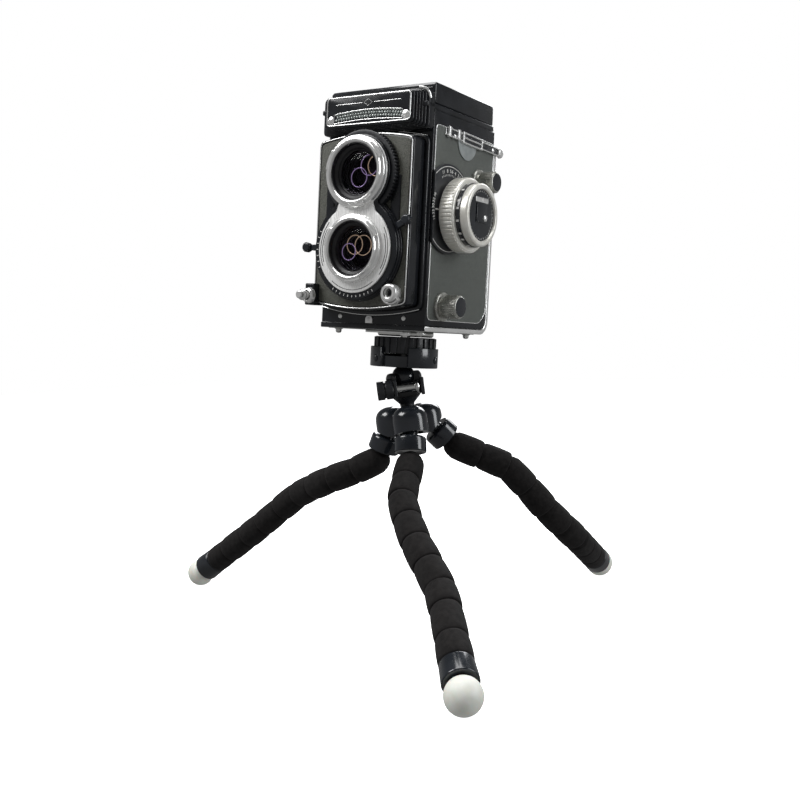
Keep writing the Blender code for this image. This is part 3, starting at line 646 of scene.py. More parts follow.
FIRST_GRIP = -14.9
RING_OUT, RING_IN = 22.0, 19.4
ring_outline, notches = [], []
for i in range(3):
    middle = FIRST_GRIP + 120 * i
    ring_outline += arc((0, 0), RING_OUT, middle - 35, middle + 35, 14)
    ring_outline += arc((0, 0), RING_IN, middle + 36.5, middle + 83.5, 10)
    notches.append(prism(arc((0, 0), 24, middle + 36.5, middle + 83.5, 10) + [(0, 0)], -16.2, 0))
ring = carved(prism(ring_outline, -23.2, -10.5, 0.5), [rod(19.7, -14.8, 0, 64), rod(5.2, -30, 0, 32), *notches])
button = turned(softened([(0, -1), (2.3, -1), (2.3, 0.7), (1.6, 1.3), (0, 1.4)], 0.4), 24)
buttons = round_about(at(ALONG_X, button), gloss_plastic, 3, RING_OUT - 0.3, FIRST_GRIP + 22, 120)
piece("lock_ring_grips", [ring, at(moved(z=-18), buttons)], gloss_plastic, "lock_ring", screw, ["lock_ring"])

# --- Back door ---
# An L-shaped door of folded aluminium closes the back and the base. Its bright edge shows all round, and
# its outer faces are covered in leatherette. The tripod bush, the latch and four studs sit on its base.

bright = finish("polished_chrome_metal", "satin_chrome", (0.92, 0.92, 0.91), 0.14, 0.72)
shaded(bright, noise(bright, 6, 4), (0.86, 0.86, 0.85), (0.95, 0.95, 0.94))
uneven(bright, noise(bright, 3, 5), 0.10, 0.22)


def leather(name, dark, light, size, depth):
    """Leatherette: raised pebbles, with painted shade darkening the creases between them."""
    made = finish(name, "grey_leatherette", light, 0.55, Specular_IOR_Level=0.35)
    tree = made.node_tree
    place = node(tree, "ShaderNodeTexCoord").outputs["Object"]
    wander = node(tree, "ShaderNodeTexNoise", Vector=place, Scale=0.35 / (size * MM), Detail=2)
    shift = node(tree, "ShaderNodeVectorMath", {"operation": "MULTIPLY_ADD"})
    tree.links.new(wander.outputs["Color"], shift.inputs[0])
    shift.inputs[1].default_value = (1.2 * size * MM,) * 3
    tree.links.new(place, shift.inputs[2])
    pebbles = node(
        tree, "ShaderNodeTexVoronoi", {"feature": "DISTANCE_TO_EDGE"}, Vector=shift.outputs[0],
        Scale=1 / (size * MM),
    )
    # Painted shade: the colour goes dark towards the creases between the pebbles.
    shaded(made, pebbles.outputs["Distance"], dark, light, 0.0, 0.22)
    uneven(made, noise(made, 4 * size, 3), 0.48, 0.66)
    creases = node(
        tree, "ShaderNodeMapRange", {"interpolation_type": "SMOOTHSTEP"}, Value=pebbles.outputs["Distance"],
    )
    creases.inputs[2].default_value = 0.28
    embossed(made, creases.outputs[0], depth, 0.9)
    return made


fine_leather = leather("fine_grey_leatherette", (0.060, 0.066, 0.060), (0.128, 0.138, 0.126), 0.34, 0.05)
coarse_leather = leather("coarse_grey_leatherette", (0.040, 0.042, 0.034), (0.120, 0.122, 0.104), 0.85, 0.13)

enamel = finish(
    "black_enamel_paint", "black_enamel", (0.010, 0.011, 0.013), 0.2, Coat_Weight=0.25, Coat_Roughness=0.06,
    Specular_IOR_Level=0.35,
)
shaded(enamel, noise(enamel, 11), (0.007, 0.008, 0.0095), (0.014, 0.0155, 0.019))
uneven(enamel, noise(enamel, 6, 4), 0.16, 0.26)
embossed(enamel, noise(enamel, 2.6, 2), 0.006, 0.3)

HALF = 39.0
DOOR_HALF = HALF + 0.3
DOOR_REAR = 76.3


def sideways(outline, low, high, soft=0.0):
    """An outline of (y, z) points raised along X."""
    return at(ALONG_X, prism(outline, low, high, soft))


door = [(0.3, 0), *arc((DOOR_REAR - 9, 9), 9, 270, 360, 12), (DOOR_REAR, 117.5), (DOOR_REAR - 3, 117.5)]
door += [*arc((DOOR_REAR - 9, 9), 6, 360, 270, 12), (0.3, 3)]
piece("door_pan", sideways(door, -DOOR_HALF, DOOR_HALF, 0.5), bright, "ball", camera, ["back_door"])


def rounded_rectangle(x0, x1, y0, y1, radius, steps=6):
    return softened([(x0, y0), (x1, y0), (x1, y1), (x0, y1)], radius, steps, True)


back_skin = prism(rounded_rectangle(-36.5, 36.5, -114.5, -11, 3), -0.2, 0.45, 0.2)
base_skin = prism(rounded_rectangle(-36.5, 36.5, -65, -3.5, 2), -0.2, 0.3, 0.15)
back_place = camera @ moved(0, DOOR_REAR, 0) @ spun(-90, "X")
piece("door_back_leather", back_skin, coarse_leather, "ball", back_place)
piece("door_base_leather", base_skin, fine_leather, "ball", camera @ spun(180, "X"))
piece("door_front_lip", block(-39.35, 39.35, -0.06, 0.5, 0.15, 3.2, 0.12), enamel, "ball", camera)

bush = softened([(3.4, -0.3), (18, -0.3), (18, -2.8), (17, -3.7), (3.4, -3.7)], 0.5, 3, True)
piece("tripod_bush", turned(bush, 96, True), chrome, "ball", screw, ["tripod_socket"])
latch = arc((0, 0), 26, 215, 300, 20) + arc((0, 0), 19, 300, 215, 20)
latch_bar = prism(softened(latch, 1.5, 3, True), -1.9, -0.3, 0.4)
piece("door_latch_bar", latch_bar, bright, "door_latch", screw, ["door_latch"])
catch_pin = at(moved(12.5, -19.4, -3.4), turned([(0, -0.6), (1.5, -0.6), (1.8, 0.6), (0, 0.6)], 24))
catch = [block(9.5, 15.5, -21, -17.5, -3.2, 0.0, 0.5), catch_pin]
stud = softened([(0, -3.3), (1.3, -3.1), (1.9, -2.2), (1.9, -0.9), (2.8, -0.5), (2.8, 0.2), (0, 0.2)], 0.4)
studs = [at(moved(x, y), turned(stud, 32)) for x in (-31, 31) for y in (8, 63)]
piece("base_catch", catch, bright, "ball", screw)
piece("base_studs", studs, chrome, "ball", camera)

# --- Body shell ---
# The die-cast body, black enamelled, open at the back and the base. Leatherette panels with a bright
# outline cover its sides. Slotted screws and a half-round nub hold the strip under the lens board.

DEPTH = 73.0
BOTTOM, TOP = 3.3, 131.0
CORNER = 5.7
shell = [(0, BOTTOM), *arc((DEPTH - CORNER, BOTTOM + CORNER), CORNER, 270, 360, 8), (DEPTH, TOP), (0, TOP)]
rooms = [block(-36, 36, 3, 90, -5, 113), block(-36, 36, 3, 70, 108, 140), block(-27, 27, -5, 5, 19, 110)]
shell_shape = carved(sideways(shell, -HALF, HALF, 0.7), rooms)
septum = block(-36.5, 36.5, 8.6, 15, 67.5, 70)
piece("body_casting", [shell_shape, septum], enamel, "camera", camera, ["body_shell"])

path_tree, entry = tree_of("bead_on_a_path", {"Width": "Float"})
path = node(path_tree, "GeometryNodeMeshToCurve", Mesh=entry["Geometry"])
half_width = node(path_tree, "ShaderNodeMath", {"operation": "MULTIPLY"})
path_tree.links.new(entry["Width"], half_width.inputs[0])
half_width.inputs[1].default_value = 0.5
round_wire = node(path_tree, "GeometryNodeCurvePrimitiveCircle", Resolution=10, Radius=half_width.outputs[0])
tube = node(
    path_tree, "GeometryNodeCurveToMesh", Curve=path.outputs[0], Profile_Curve=round_wire.outputs[0],
    Fill_Caps=True,
)
closes(path_tree, entry, tube.outputs[0])


def bead(points, width, coat, ring=True):
    """A half-buried wire that follows a path of points."""
    line = bmesh.new()
    verts = [line.verts.new(point) for point in points]
    for a, b in zip(verts, verts[1:]):
        line.edges.new((a, b))
    if ring:
        line.edges.new((verts[-1], verts[0]))
    return grown(path_tree, coat, {"Width": float(width)}, line)


panel = [(2.4, 7.1), (64.8, 7.1), (DEPTH - 1.2, 14), (DEPTH - 1.2, 122.8), (2.4, 122.8)]
panel = softened(panel, 4, 5, True)
for side, sign in (("left", 1), ("right", -1)):
    face = sign * HALF
    skin = sideways(panel, *sorted((face - sign * 0.3, face + sign * 0.35)), 0.1)
    piece(f"side_leather_{side}", skin, fine_leather, "camera", camera)
    line = bead([(face + sign * 0.2, y, z) for y, z in panel], 0.6, bright)
    piece(f"side_outline_{side}", line, bright, "camera", camera)

FRONT = Matrix(((1, 0, 0, 0), (0, 0, -1, 0), (0, 1, 0, 0), (0, 0, 0, 1)))


def facing(x, z, out=0.0):
    """Local Z runs out of the lenses, over the point (x, z) of the camera's front."""
    return moved(x, -out, z) @ FRONT


def screw_head(radius, rise, slot=0.35):
    """A round-topped screw with a slot."""
    outline = [(0, -0.5), (radius, -0.5), (radius, rise * 0.6), (radius * 0.6, rise), (0, rise)]
    groove = block(-slot / 2, slot / 2, -radius * 1.2, radius * 1.2, rise * 0.45, rise + 1)
    return carved(turned(softened(outline, 0.25, 3), 28), [groove])


strip = [at(facing(x, 7.4) @ spun(turn), screw_head(1.5, 0.6)) for x, turn in ((-24, 20), (24, 65))]
nub = [(-2.6, 3.6), (2.6, 3.6)] + arc((0, 6.0), 2.6, 0, 180, 10)
strip.append(at(facing(-1.2, 0), prism(nub, -0.2, 1.2, 0.3)))
strip.append(at(facing(-1.2, 6.0, 1.1) @ spun(40), screw_head(1.2, 0.5)))
piece("front_strip_screws", strip, bright, "camera", camera)

silvered = finish("silvered_mirror", "silvered_glass", (0.9, 0.9, 0.9), 0.02, 1.0)
shaded(silvered, noise(silvered, 20), (0.86, 0.87, 0.88), (0.93, 0.93, 0.93))
ground = finish("ground_glass", "coated_glass", (0.5, 0.52, 0.5), 0.5)
shaded(ground, noise(ground, 8), (0.42, 0.44, 0.43), (0.55, 0.57, 0.55))


def coated(coat, *nodes):
    """Gives plain inner solids their finish."""
    for name in nodes:
        frame["nodes"][name].data.materials.clear()
        frame["nodes"][name].data.materials.append(coat)


coated(satin_plastic, "supply_spool", "takeup_spool", "pressure_plate")
coated(chrome, "mount_screw")
coated(silvered, "mirror")
coated(ground, "focusing_screen")

# --- Hood ---
# A sheet-metal viewing hood that folds flat under its lid. Its frame carries a stepped front housing, and
# the plate there has a bright rim and a row of light-meter cells behind a curved window.

top_frame = block(-HALF, HALF, -8, 71, 131.3, 134.3, 0.6)
flare = block(-HALF + 0.2, HALF - 0.2, -0.2, 71.4, TOP, 132.4, 0.3)
top_frame, flare = (carved(plate, [block(-29, 29, 7, 65, 120, 140)]) for plate in (top_frame, flare))
STEPS = (
    (39.0, 0.4, 6.0), (37.6, 5.6, 7.6), (36.2, 7.2, 8.9),
    (34.9, 8.5, 10.1), (33.7, 9.7, 11.3), (32.6, 10.9, 12.9),
)
steps = []
for i, (half, back, front) in enumerate(STEPS):
    outline = rounded_rectangle(-half, half, 118.6 + 0.55 * i, 141.5 - 0.22 * i, 3.0)
    steps.append(at(FRONT, prism(outline, back, front, 0.45)))
piece("hood_base", [top_frame, flare, *steps], enamel, "camera", camera, ["hood_frame"])

PLATE_Y = 12.8
plate = prism(rounded_rectangle(-31, 31, 122.5, 139.8, 2.5), PLATE_Y - 0.3, PLATE_Y + 0.7, 0.2)
piece("nameplate_field", at(FRONT, plate), enamel, "camera", camera, ["nameplate"])
rim = [(x, -PLATE_Y - 0.75, z) for x, z in rounded_rectangle(-30.6, 30.6, 122.9, 139.4, 2.4)]


def bowed_line(x0, x1, z, rise, steps=24):
    """Points on a shallow arch."""
    middle, half = (x0 + x1) / 2, (x1 - x0) / 2
    xs = [x0 + (x1 - x0) * i / steps for i in range(steps + 1)]
    return [(x, z + rise * (1 - ((x - middle) / half) ** 2)) for x in xs]


window = bowed_line(-25.2, 25.2, 129.4, 1.7) + bowed_line(-25.2, 25.2, 124.0, 1.2)[::-1]
shapes = [bead(rim, 0.85, bright), bead([(x, -PLATE_Y - 0.8, z) for x, z in window], 0.5, bright)]
washer = softened([(0, 0), (2.6, 0), (2.6, 0.4), (1.7, 0.7), (0, 0.7)], 0.2)
for x, turn in ((-27.6, 30), (27.6, 100)):
    shapes.append(at(facing(x, 126.0, PLATE_Y + 0.5), turned(washer, 32)))
    shapes.append(at(facing(x, 126.0, PLATE_Y + 1.0) @ spun(turn), screw_head(1.35, 0.5)))
ORNAMENT_Z = 135.2
for x0, x1 in ((-24, -4.5), (4.5, 24)):
    shapes.append(bead([(x, -PLATE_Y - 0.7, ORNAMENT_Z) for x in (x0, x1)], 0.4, bright, False))
diamond = [(x, -PLATE_Y - 0.7, ORNAMENT_Z + rise) for x, rise in ((-3, 0), (0, 2), (3, 0), (0, -2))]
shapes.append(bead(diamond, 0.42, bright))
piece("nameplate_trim", shapes, bright, "camera", camera)

cell_inputs = {"Shape": "Object", "Across": "Int", "Pitch": "Float", "Rise": "Float"}
cell_tree, entry = tree_of("meter_cells", cell_inputs)
number = node(cell_tree, "GeometryNodeInputIndex").outputs[0]


def total(tree, operation, *values):
    """A sum on numbers or sockets."""
    made = node(tree, "ShaderNodeMath", {"operation": operation})
    for socket, value in zip(made.inputs, values):
        if isinstance(value, bpy.types.NodeSocket):
            tree.links.new(value, socket)
        else:
            socket.default_value = value
    return made.outputs[0]


row = total(cell_tree, "DIVIDE", total(cell_tree, "ADD", number, 0.5), entry["Across"])
row = total(cell_tree, "FLOOR", row)
column = total(cell_tree, "SUBTRACT", number, total(cell_tree, "MULTIPLY", row, entry["Across"]))
middle = total(cell_tree, "MULTIPLY", total(cell_tree, "SUBTRACT", entry["Across"], 1), 0.5)
stagger = total(cell_tree, "MULTIPLY", total(cell_tree, "MODULO", row, 2), 0.5)
place = total(cell_tree, "ADD", total(cell_tree, "SUBTRACT", column, middle), stagger)
x = total(cell_tree, "MULTIPLY", place, entry["Pitch"])
ratio = total(cell_tree, "DIVIDE", x, 25.0)
drop = total(cell_tree, "MULTIPLY", total(cell_tree, "MULTIPLY", ratio, ratio), entry["Rise"])
climb = total(cell_tree, "MULTIPLY", row, total(cell_tree, "MULTIPLY", entry["Pitch"], 0.9))
place = node(cell_tree, "ShaderNodeCombineXYZ", X=x, Y=total(cell_tree, "SUBTRACT", climb, drop))
count = total(cell_tree, "MULTIPLY", entry["Across"], 3)
points = node(cell_tree, "GeometryNodePoints", Count=count, Position=place.outputs[0])
shape = node(cell_tree, "GeometryNodeObjectInfo", Object=entry["Shape"])
copies = node(
    cell_tree, "GeometryNodeInstanceOnPoints", Points=points.outputs[0], Instance=shape.outputs["Geometry"],
)
closes(cell_tree, entry, copies.outputs[0])

bubble = turned([(0, 0), (0.98, 0), (0.95, 0.35), (0.6, 0.75), (0, 0.9)], 6)
CELL_PITCH = 1.95
cells_shape = grown(cell_tree, bright, {"Shape": bubble, "Across": 25, "Pitch": CELL_PITCH, "Rise": 1.5})
cell_glass = finish("meter_cell_glass", "coated_glass", (0.34, 0.37, 0.35), 0.12, 0.4)
shaded(cell_glass, noise(cell_glass, 1.4, 2), (0.16, 0.18, 0.17), (0.5, 0.54, 0.52))
piece("meter_cells", cells_shape, cell_glass, "camera", camera @ facing(0, 127.1, PLATE_Y + 0.3))

hook = [(33.6, -9.8, 141.9), (35.6, -8.6, 141.9), (37.4, -7.2, 141.2), (38.5, -5.8, 139.2)]
hook.append((38.9, -5.0, 136.2))
piece("hood_front_spring", bead(hook, 1.6, bright, False), bright, "camera", camera)

LID_LOW, LID_HIGH = 134.6, 147.0
LID_REAR, LID_BEVEL = 70.5, 1.6
lid_side = [(0, LID_LOW), (LID_REAR, LID_LOW), (LID_REAR, LID_HIGH - LID_BEVEL)]
lid_side += [(LID_REAR - LID_BEVEL, LID_HIGH), (LID_BEVEL, LID_HIGH), (0, LID_HIGH - LID_BEVEL)]
hollow = block(-37.3, 37.3, 1.3, 69.2, 120, LID_HIGH - 1.5)
lid_shape = carved(sideways(lid_side, -38.7, 38.7, 1.1), [hollow])
lid_rib = bead([(x, y, 146.95) for x, y in rounded_rectangle(-36.6, 36.6, 2.6, 68, 2)], 0.8, enamel)
lid_front = bead([(-37, -0.05, 143.6), (37, -0.05, 143.6)], 0.9, enamel, False)
piece("hood_lid_pressing", [lid_shape, lid_rib, lid_front], enamel, "hood_lid", camera, ["hood_lid"])
coated(enamel, "hood_wall_left", "hood_wall_right")

# --- Lens board ---
# The board slides out of the body to focus. It is a black enamelled casting with bowed ends, a bright
# line round its face and leatherette in the middle. A flange on the body frames it, and bright arcs
# along the flange's curved top and bottom edges are painted highlights.


def bowed(half, low, high, rise, corner=2.5):
    """The board's outline: straight sides, with ends that bow outwards."""
    room = half - 2.1 * corner
    line = [point for point in bowed_line(-half, half, 0, rise) if not half > abs(point[0]) > room]
    outline = [(x, low - z) for x, z in line] + [(x, high + z) for x, z in reversed(line)]
    return softened(outline, corner, 3, True)


BOARD_FRONT = 14.0
VIEW_Z, TAKE_Z = 92.7, 47.4
RELEASE = (-34.0, 19.0)
board = at(FRONT, prism(bowed(35, 15.0, 113.5, 3.8), 0.6, BOARD_FRONT, 0.9))
bracket = block(-37.6, -30.4, -19.5, -10, 13.2, 26.5, 0.7)
bores = [at(facing(0, z), turned([(0, 30), (16.7, 30), (16.7, -5), (0, -5)], 48)) for z in (VIEW_Z, TAKE_Z)]
rooms = [block(-24.6, 24.6, -8, 20, z0, z1) for z0, z1 in ((22, 66), (72, 107))]
press_bore = at(facing(*RELEASE), turned([(0, 30), (2.8, 30), (2.8, 12), (0, 12)], 24))
board = carved(board, [*rooms, *bores, press_bore], [block(-26.6, 26.6, -1.6, 8, 20, 109), bracket])
piece("lens_board_casting", board, enamel, "lens_board", camera, ["lens_board"])
field = prism(bowed(32.9, 16.8, 111.6, 3.6), BOARD_FRONT - 0.3, BOARD_FRONT + 0.45, 0.15)
wide = [at(facing(0, z), turned([(0, 30), (18, 30), (18, 2), (0, 2)], 48)) for z in (VIEW_Z, TAKE_Z)]
field = carved(at(FRONT, field), wide)
piece("lens_board_leather", field, coarse_leather, "lens_board", camera)
line = [(x, -BOARD_FRONT - 0.3, z) for x, z in bowed(33.9, 15.9, 112.6, 3.7)]
piece("lens_board_line", bead(line, 0.8, bright), bright, "lens_board", camera)
flange = at(FRONT, prism(bowed(37.6, 12.2, 116.0, 4.2, 5), -0.2, 2.6, 1.0, (False, True)))
flange = carved(flange, [at(FRONT, prism(bowed(35.5, 14.4, 114.1, 3.9), -3, 5))])
piece("lens_board_frame", flange, enamel, "camera", camera)
# Painted highlights: bright arcs along the black flange's curved top and bottom edges, where it catches the light.
highlight_arcs = []
for z, rise in ((115.3, 4.2), (12.9, -4.2)):
    highlight_arcs.append(bead([(x, -2.5, zz) for x, zz in bowed_line(-36.4, 36.4, z, rise)], 0.6, bright, False))
piece("lens_board_frame_lines", highlight_arcs, bright, "camera", camera)

# --- Shutter ---
# Stepped black housing in a figure of eight round both lenses, with the bright faceplate on it. The rim
# carries a white scale. A small black cover beside the lenses holds the setting wheels.


def figure_eight(top_radius, low_radius, top_waist, low_waist):
    """A small circle over a large one, joined by a waist with soft corners."""
    top = arc((0, VIEW_Z), top_radius, -top_waist, 180 + top_waist, 48)
    low = arc((0, TAKE_Z), low_radius, 180 - low_waist, 360 + low_waist, 56)
    return softened(top + low, 3, 4, True)


def pierced(plate):
    """The plate, with the holes for both lenses."""
    hole = [(0, 40), (16.7, 40), (16.7, 5), (0, 5)]
    return carved(at(FRONT, plate), [at(facing(0, z), turned(hole, 64)) for z in (VIEW_Z, TAKE_Z)])


layers = [
    pierced(prism(figure_eight(24.6, 31.2, 46, 46), 14.2, 16.4, 0.5)),
    pierced(prism(figure_eight(23.4, 30.8, 48, 48), 16.2, 18.4, 0.4)),
    pierced(prism(figure_eight(22.6, 30.2, 50, 50), 18.2, 20.3, 0.5)),
]
layers.append(block(21.0, 27.6, -15.35, -13.2, 57, 91, 0.6))
layers.append(block(-27.0, -21.0, -15.35, -13.2, 60, 88, 0.6))
piece("shutter_case", layers, enamel, "lens_board", camera, ["shutter_housing"])
teeth = block(-0.6, 0.6, -0.45, 0.45, 14.6, 18.6, 0.15)
teeth = round_about(teeth, satin_plastic, 22, 25.6, -38, 4.6)
dial_band = turned(softened([(22.6, 14.4), (25.4, 14.4), (25.4, 18.5), (22.6, 18.5)], 0.3, 3, True), 96, True)
piece("setting_ring", [teeth, dial_band], satin_plastic, "lens_board", camera @ facing(0, VIEW_Z))

brushed = finish("brushed_faceplate", "satin_chrome", (0.93, 0.93, 0.92), 0.34, 0.35)
shaded(brushed, noise(brushed, 12, 4), (0.88, 0.88, 0.87), (0.96, 0.96, 0.95))
uneven(brushed, noise(brushed, 1.4, 5, (1, 1, 0.08)), 0.2, 0.36)
embossed(brushed, noise(brushed, 0.3, 2, (1, 1, 0.06)), 0.01, 0.4)
white_ink = finish("white_ink", "white_rubber", (0.75, 0.75, 0.72), 0.5)
shaded(white_ink, noise(white_ink, 1.5), (0.62, 0.62, 0.6), (0.8, 0.8, 0.77))

face = pierced(prism(figure_eight(21.5, 26.4, 55, 57), 20.2, 21.5, 0.3))
piece("faceplate_stamping", face, brushed, "lens_board", camera, ["faceplate"])
GROOVES = ((24.9, 140, 205), (24.9, -38, 30), (23.5, 150, 200), (23.5, -30, 22), (24.6, 232, 308))
grooves = []
for radius, start, end in GROOVES:
    grooves.append(bead([(a, b, 21.5) for a, b in arc((0, 0), radius, start, end, 40)], 0.42, enamel, False))
piece("faceplate_grooves", grooves, enamel, "lens_board", camera @ facing(0, TAKE_Z))
ticks = []
for count, start, step in ((7, 158, 7.5), (11, 238, 6.2)):
    tick = block(-0.7, 0.7, -0.18, 0.18, 20.25, 20.42)
    ticks.append(round_about(tick, white_ink, count, 28.3, start, step))
piece("rim_scale", ticks, white_ink, "lens_board", camera @ facing(0, TAKE_Z))

# --- Lenses ---
# The viewing lens above and the taking lens below: bright bayonet rings, black stepped barrels behind
# them, and coated elements. Thin glowing rings of colour deep in the glass are painted reflections of the
# lights in the coatings, and a near-black element behind them is painted shade inside the lens.

black_barrel = finish("matt_black_barrel", "black_enamel", (0.010, 0.010, 0.011), 0.42)
shaded(black_barrel, noise(black_barrel, 3), (0.006, 0.006, 0.007), (0.014, 0.014, 0.016))
uneven(black_barrel, noise(black_barrel, 1.5), 0.34, 0.5)
lens_glass = finish(
    "coated_lens_glass", "coated_glass", (0.93, 0.9, 0.97), 0.0, Transmission_Weight=1.0, IOR=1.12,
    Specular_IOR_Level=0.1,
)
shaded(lens_glass, noise(lens_glass, 30), (0.93, 0.90, 0.97), (0.95, 0.92, 0.99))


def painted_reflection(name, dark, light):
    """A painted reflection: a coloured ring that glows a little by itself, in place of the lights reflected in a
    coated element's edge.
    """
    made = finish(name, "coated_glass", light, 0.25, 0.3)
    shaded(made, noise(made, 5), dark, light)
    shader = made.node_tree.nodes["Principled BSDF"]
    # Painted highlight: the ring glows by itself, though nothing in the lens is a lamp.
    shader.inputs["Emission Color"].default_value = (*light, 1)
    shader.inputs["Emission Strength"].default_value = 0.35
    return made


# Painted reflections: violet and amber glowing rings in place of the lights reflected in the coatings.
violet = painted_reflection("violet_coating", (0.16, 0.11, 0.25), (0.42, 0.32, 0.55))
amber = painted_reflection("amber_coating", (0.30, 0.20, 0.10), (0.62, 0.47, 0.32))
# Painted shade: a real element sits deep in the lens, and its near-black colour stands in for the shade inside the
# barrel.
deep_shade_glass = finish("deep_element", "coated_glass", (0.006, 0.004, 0.008), 0.4, Specular_IOR_Level=0.2)
shaded(deep_shade_glass, noise(deep_shade_glass, 8), (0.003, 0.002, 0.004), (0.009, 0.006, 0.012))

COATED_RADIUS = 12.2
# Each lens: its height, its rim, its throat, the back of its barrel, and the painted reflections seen in it,
# rings given as their place, radius, depth and colour.
LENSES = {
    "viewing": (
        VIEW_Z, 21.4, 16.9, 6.2,
        ((-2.4, -2.3, 5.6, 3.0, violet), (3.5, 5.0, 6.0, 4.6, violet), (8.6, 4.6, 6.2, 4.8, amber)),
    ),
    "taking": (
        TAKE_Z, 20.4, 16.4, 4.2,
        ((-6.4, -1.5, 4.9, 1.6, violet), (-4.0, 2.9, 5.6, 4.0, amber), (1.7, 2.6, 5.8, 4.4, amber)),
    ),
}
for name, (z, rim_radius, throat, rear, reflection_rings) in LENSES.items():
    place = camera @ facing(0, z)
    bayonet = [(throat, 21.2), (throat, 24.9), (throat + 0.9, 25.8), (rim_radius - 2.3, 25.8)]
    bayonet += [(rim_radius - 1.9, 24.4), (rim_radius - 0.3, 24.2), (rim_radius, 23.7), (rim_radius, 21.2)]
    bayonet_ring = turned(softened(bayonet, 0.35, 3, True), 128, True)
    lug = arc((0, 0), rim_radius - 0.4, -17, 17, 10) + arc((0, 0), rim_radius - 2.2, 17, -17, 10)
    lugs = round_about(prism(lug, 24.0, 25.2, 0.25), bright, 3, 0.0, 38, 120)
    piece(f"{name}_bayonet", [bayonet_ring, lugs], bright, "lens_board", place, [f"{name}_lens"])
    tube = [(throat + 0.05, 22.0), (throat + 0.05, 24.6), (throat - 0.5, 24.6), (throat - 1.0, 22.3)]
    tube += [(throat - 2.6, 21.2), (throat - 2.9, 20.2), (13.2, 19.6), (13.2, 17.2), (12.4, 17.2)]
    tube += [(12.4, 14.6), (11.4, 14.6), (11.4, 11.6), (10.2, 11.6), (10.2, rear + 1), (0, rear + 1)]
    tube += [(0, rear), (16.5, rear), (16.5, 22.0)]
    piece(f"{name}_barrel", turned(tube, 96, True), black_barrel, "lens_board", place)
    element = [(0, 21.6), (5, 21.35), (9, 20.8), (11.5, 20.2), (13.3, 19.6), (13.3, 18.9), (0, 18.9)]
    piece(f"{name}_front_element", turned(element, 96), lens_glass, "lens_board", place)
    # Painted shade: a near-black dome at the back of the barrel, for the dark inside of the lens.
    dome = [(0, rear + 1.9), (6, rear + 1.7), (10, rear + 1.2), (10, rear + 1.05), (0, rear + 1.05)]
    piece(f"{name}_deep_element", turned(dome, 64), deep_shade_glass, "lens_board", place)
    # Painted reflections: glowing coloured rings deep in the glass, cut where they leave the coated element.
    for i, (x, up, radius, depth, coat) in enumerate(reflection_rings):
        begin = math.degrees(math.atan2(up, x))
        circle = [(x + a, up + b, 18.6 - depth) for a, b in arc((0, 0), radius, begin, begin + 360, 60)[:-1]]
        seen = [point for point in circle if math.hypot(point[0], point[1]) < COATED_RADIUS]
        ring = bead(seen, 0.5, coat, len(seen) == len(circle))
        piece(f"{name}_coating_{i + 1}", ring, coat, "lens_board", place)

# --- Front controls ---
# Two small levers at the shutter's rim set the aperture and the speed. The chrome release stands out of
# a black bracket at the lower right corner of the board, and the flash socket is on the other side.

for lever, degrees in (("aperture_lever", 178.0), ("speed_lever", 26.0)):
    place = camera @ facing(0, TAKE_Z) @ spun(degrees)
    arm = prism(((30.6, -2), (38, -1.6), (38, 1.6), (30.6, 2)), 15.5, 18, 0.3)
    knob = turned(softened([(0, 15.45), (2.4, 15.45), (2.7, 15.9), (2.7, 19.4), (2.2, 20), (0, 20)], 0.3), 32)
    flutes = round_about(block(-0.25, 0.3, -0.25, 0.25, 15.9, 19.3, 0.08), gloss_plastic, 16, 2.75)
    shapes = [arm, at(moved(38.5), knob), at(moved(38.5), flutes)]
    piece(f"{lever}_moulding", shapes, gloss_plastic, lever, place, [lever])

release = [(0, 17.6), (2.4, 17.6), (2.4, 24.8), (3.4, 25.6), (3.4, 26.8), (2.4, 27.4), (2.4, 29.6)]
release += [(2.0, 30), (0, 30)]
press = camera @ facing(*RELEASE)
piece("release_plunger", turned(softened(release, 0.35), 48), bright, "release_button", press, ["release_button"])
release_seat = softened([(3.0, 19.3), (5.0, 19.3), (4.4, 21.8), (3.6, 22.6), (3.0, 22.6)], 0.3, 3, True)
piece("release_seat", turned(release_seat, 48, True), bright, "lens_board", press)

sync = camera @ facing(26, 21.6)
socket = [(1.4, 17), (2.3, 17), (2.3, 20.2), (3.2, 21.2), (4.6, 21.2), (5.4, 20.2), (5.4, 14.3), (1.4, 14.3)]
socket = turned(softened(socket, 0.3, 3, True), 64, True)
piece("flash_socket", socket, bright, "lens_board", sync, ["sync_socket"])
core_pin = turned([(0, 14.5), (1.4, 14.5), (1.4, 17), (0, 17.2)], 24)
insulator = [(1.4, 15), (3.6, 15), (3.6, 20.9), (2.9, 21.1), (2.5, 20.2), (2.4, 17.4), (1.4, 17.4)]
shapes = [core_pin, turned(insulator, 48, True)]
piece("flash_socket_insulator", shapes, satin_plastic, "lens_board", sync)
guard = arc((0, 0), 6.9, 150, 330, 24) + arc((0, 0), 5.7, 330, 150, 24)
piece("flash_socket_guard", prism(guard, 14.3, 18.6, 0.3), bright, "lens_board", sync)

# --- Focusing knob ---
# The large knob on the left side slides the lens board. A fluted bright ring, a black band with white
# marks, a bright rim and a black film table with a small window, over a black distance dial.

cream = finish("fluted_bright_metal", "satin_chrome", (0.91, 0.89, 0.84), 0.34, 0.5)
shaded(cream, noise(cream, 5, 4), (0.80, 0.78, 0.71), (0.92, 0.91, 0.86))
uneven(cream, noise(cream, 1.2, 4), 0.28, 0.4)

FOCUS_AXIS = (26.0, 71.5)


def beside(y, z):
    """Local Z runs out of the camera's left side, over the point (y, z)."""
    return camera @ moved(0, y, z) @ ALONG_X


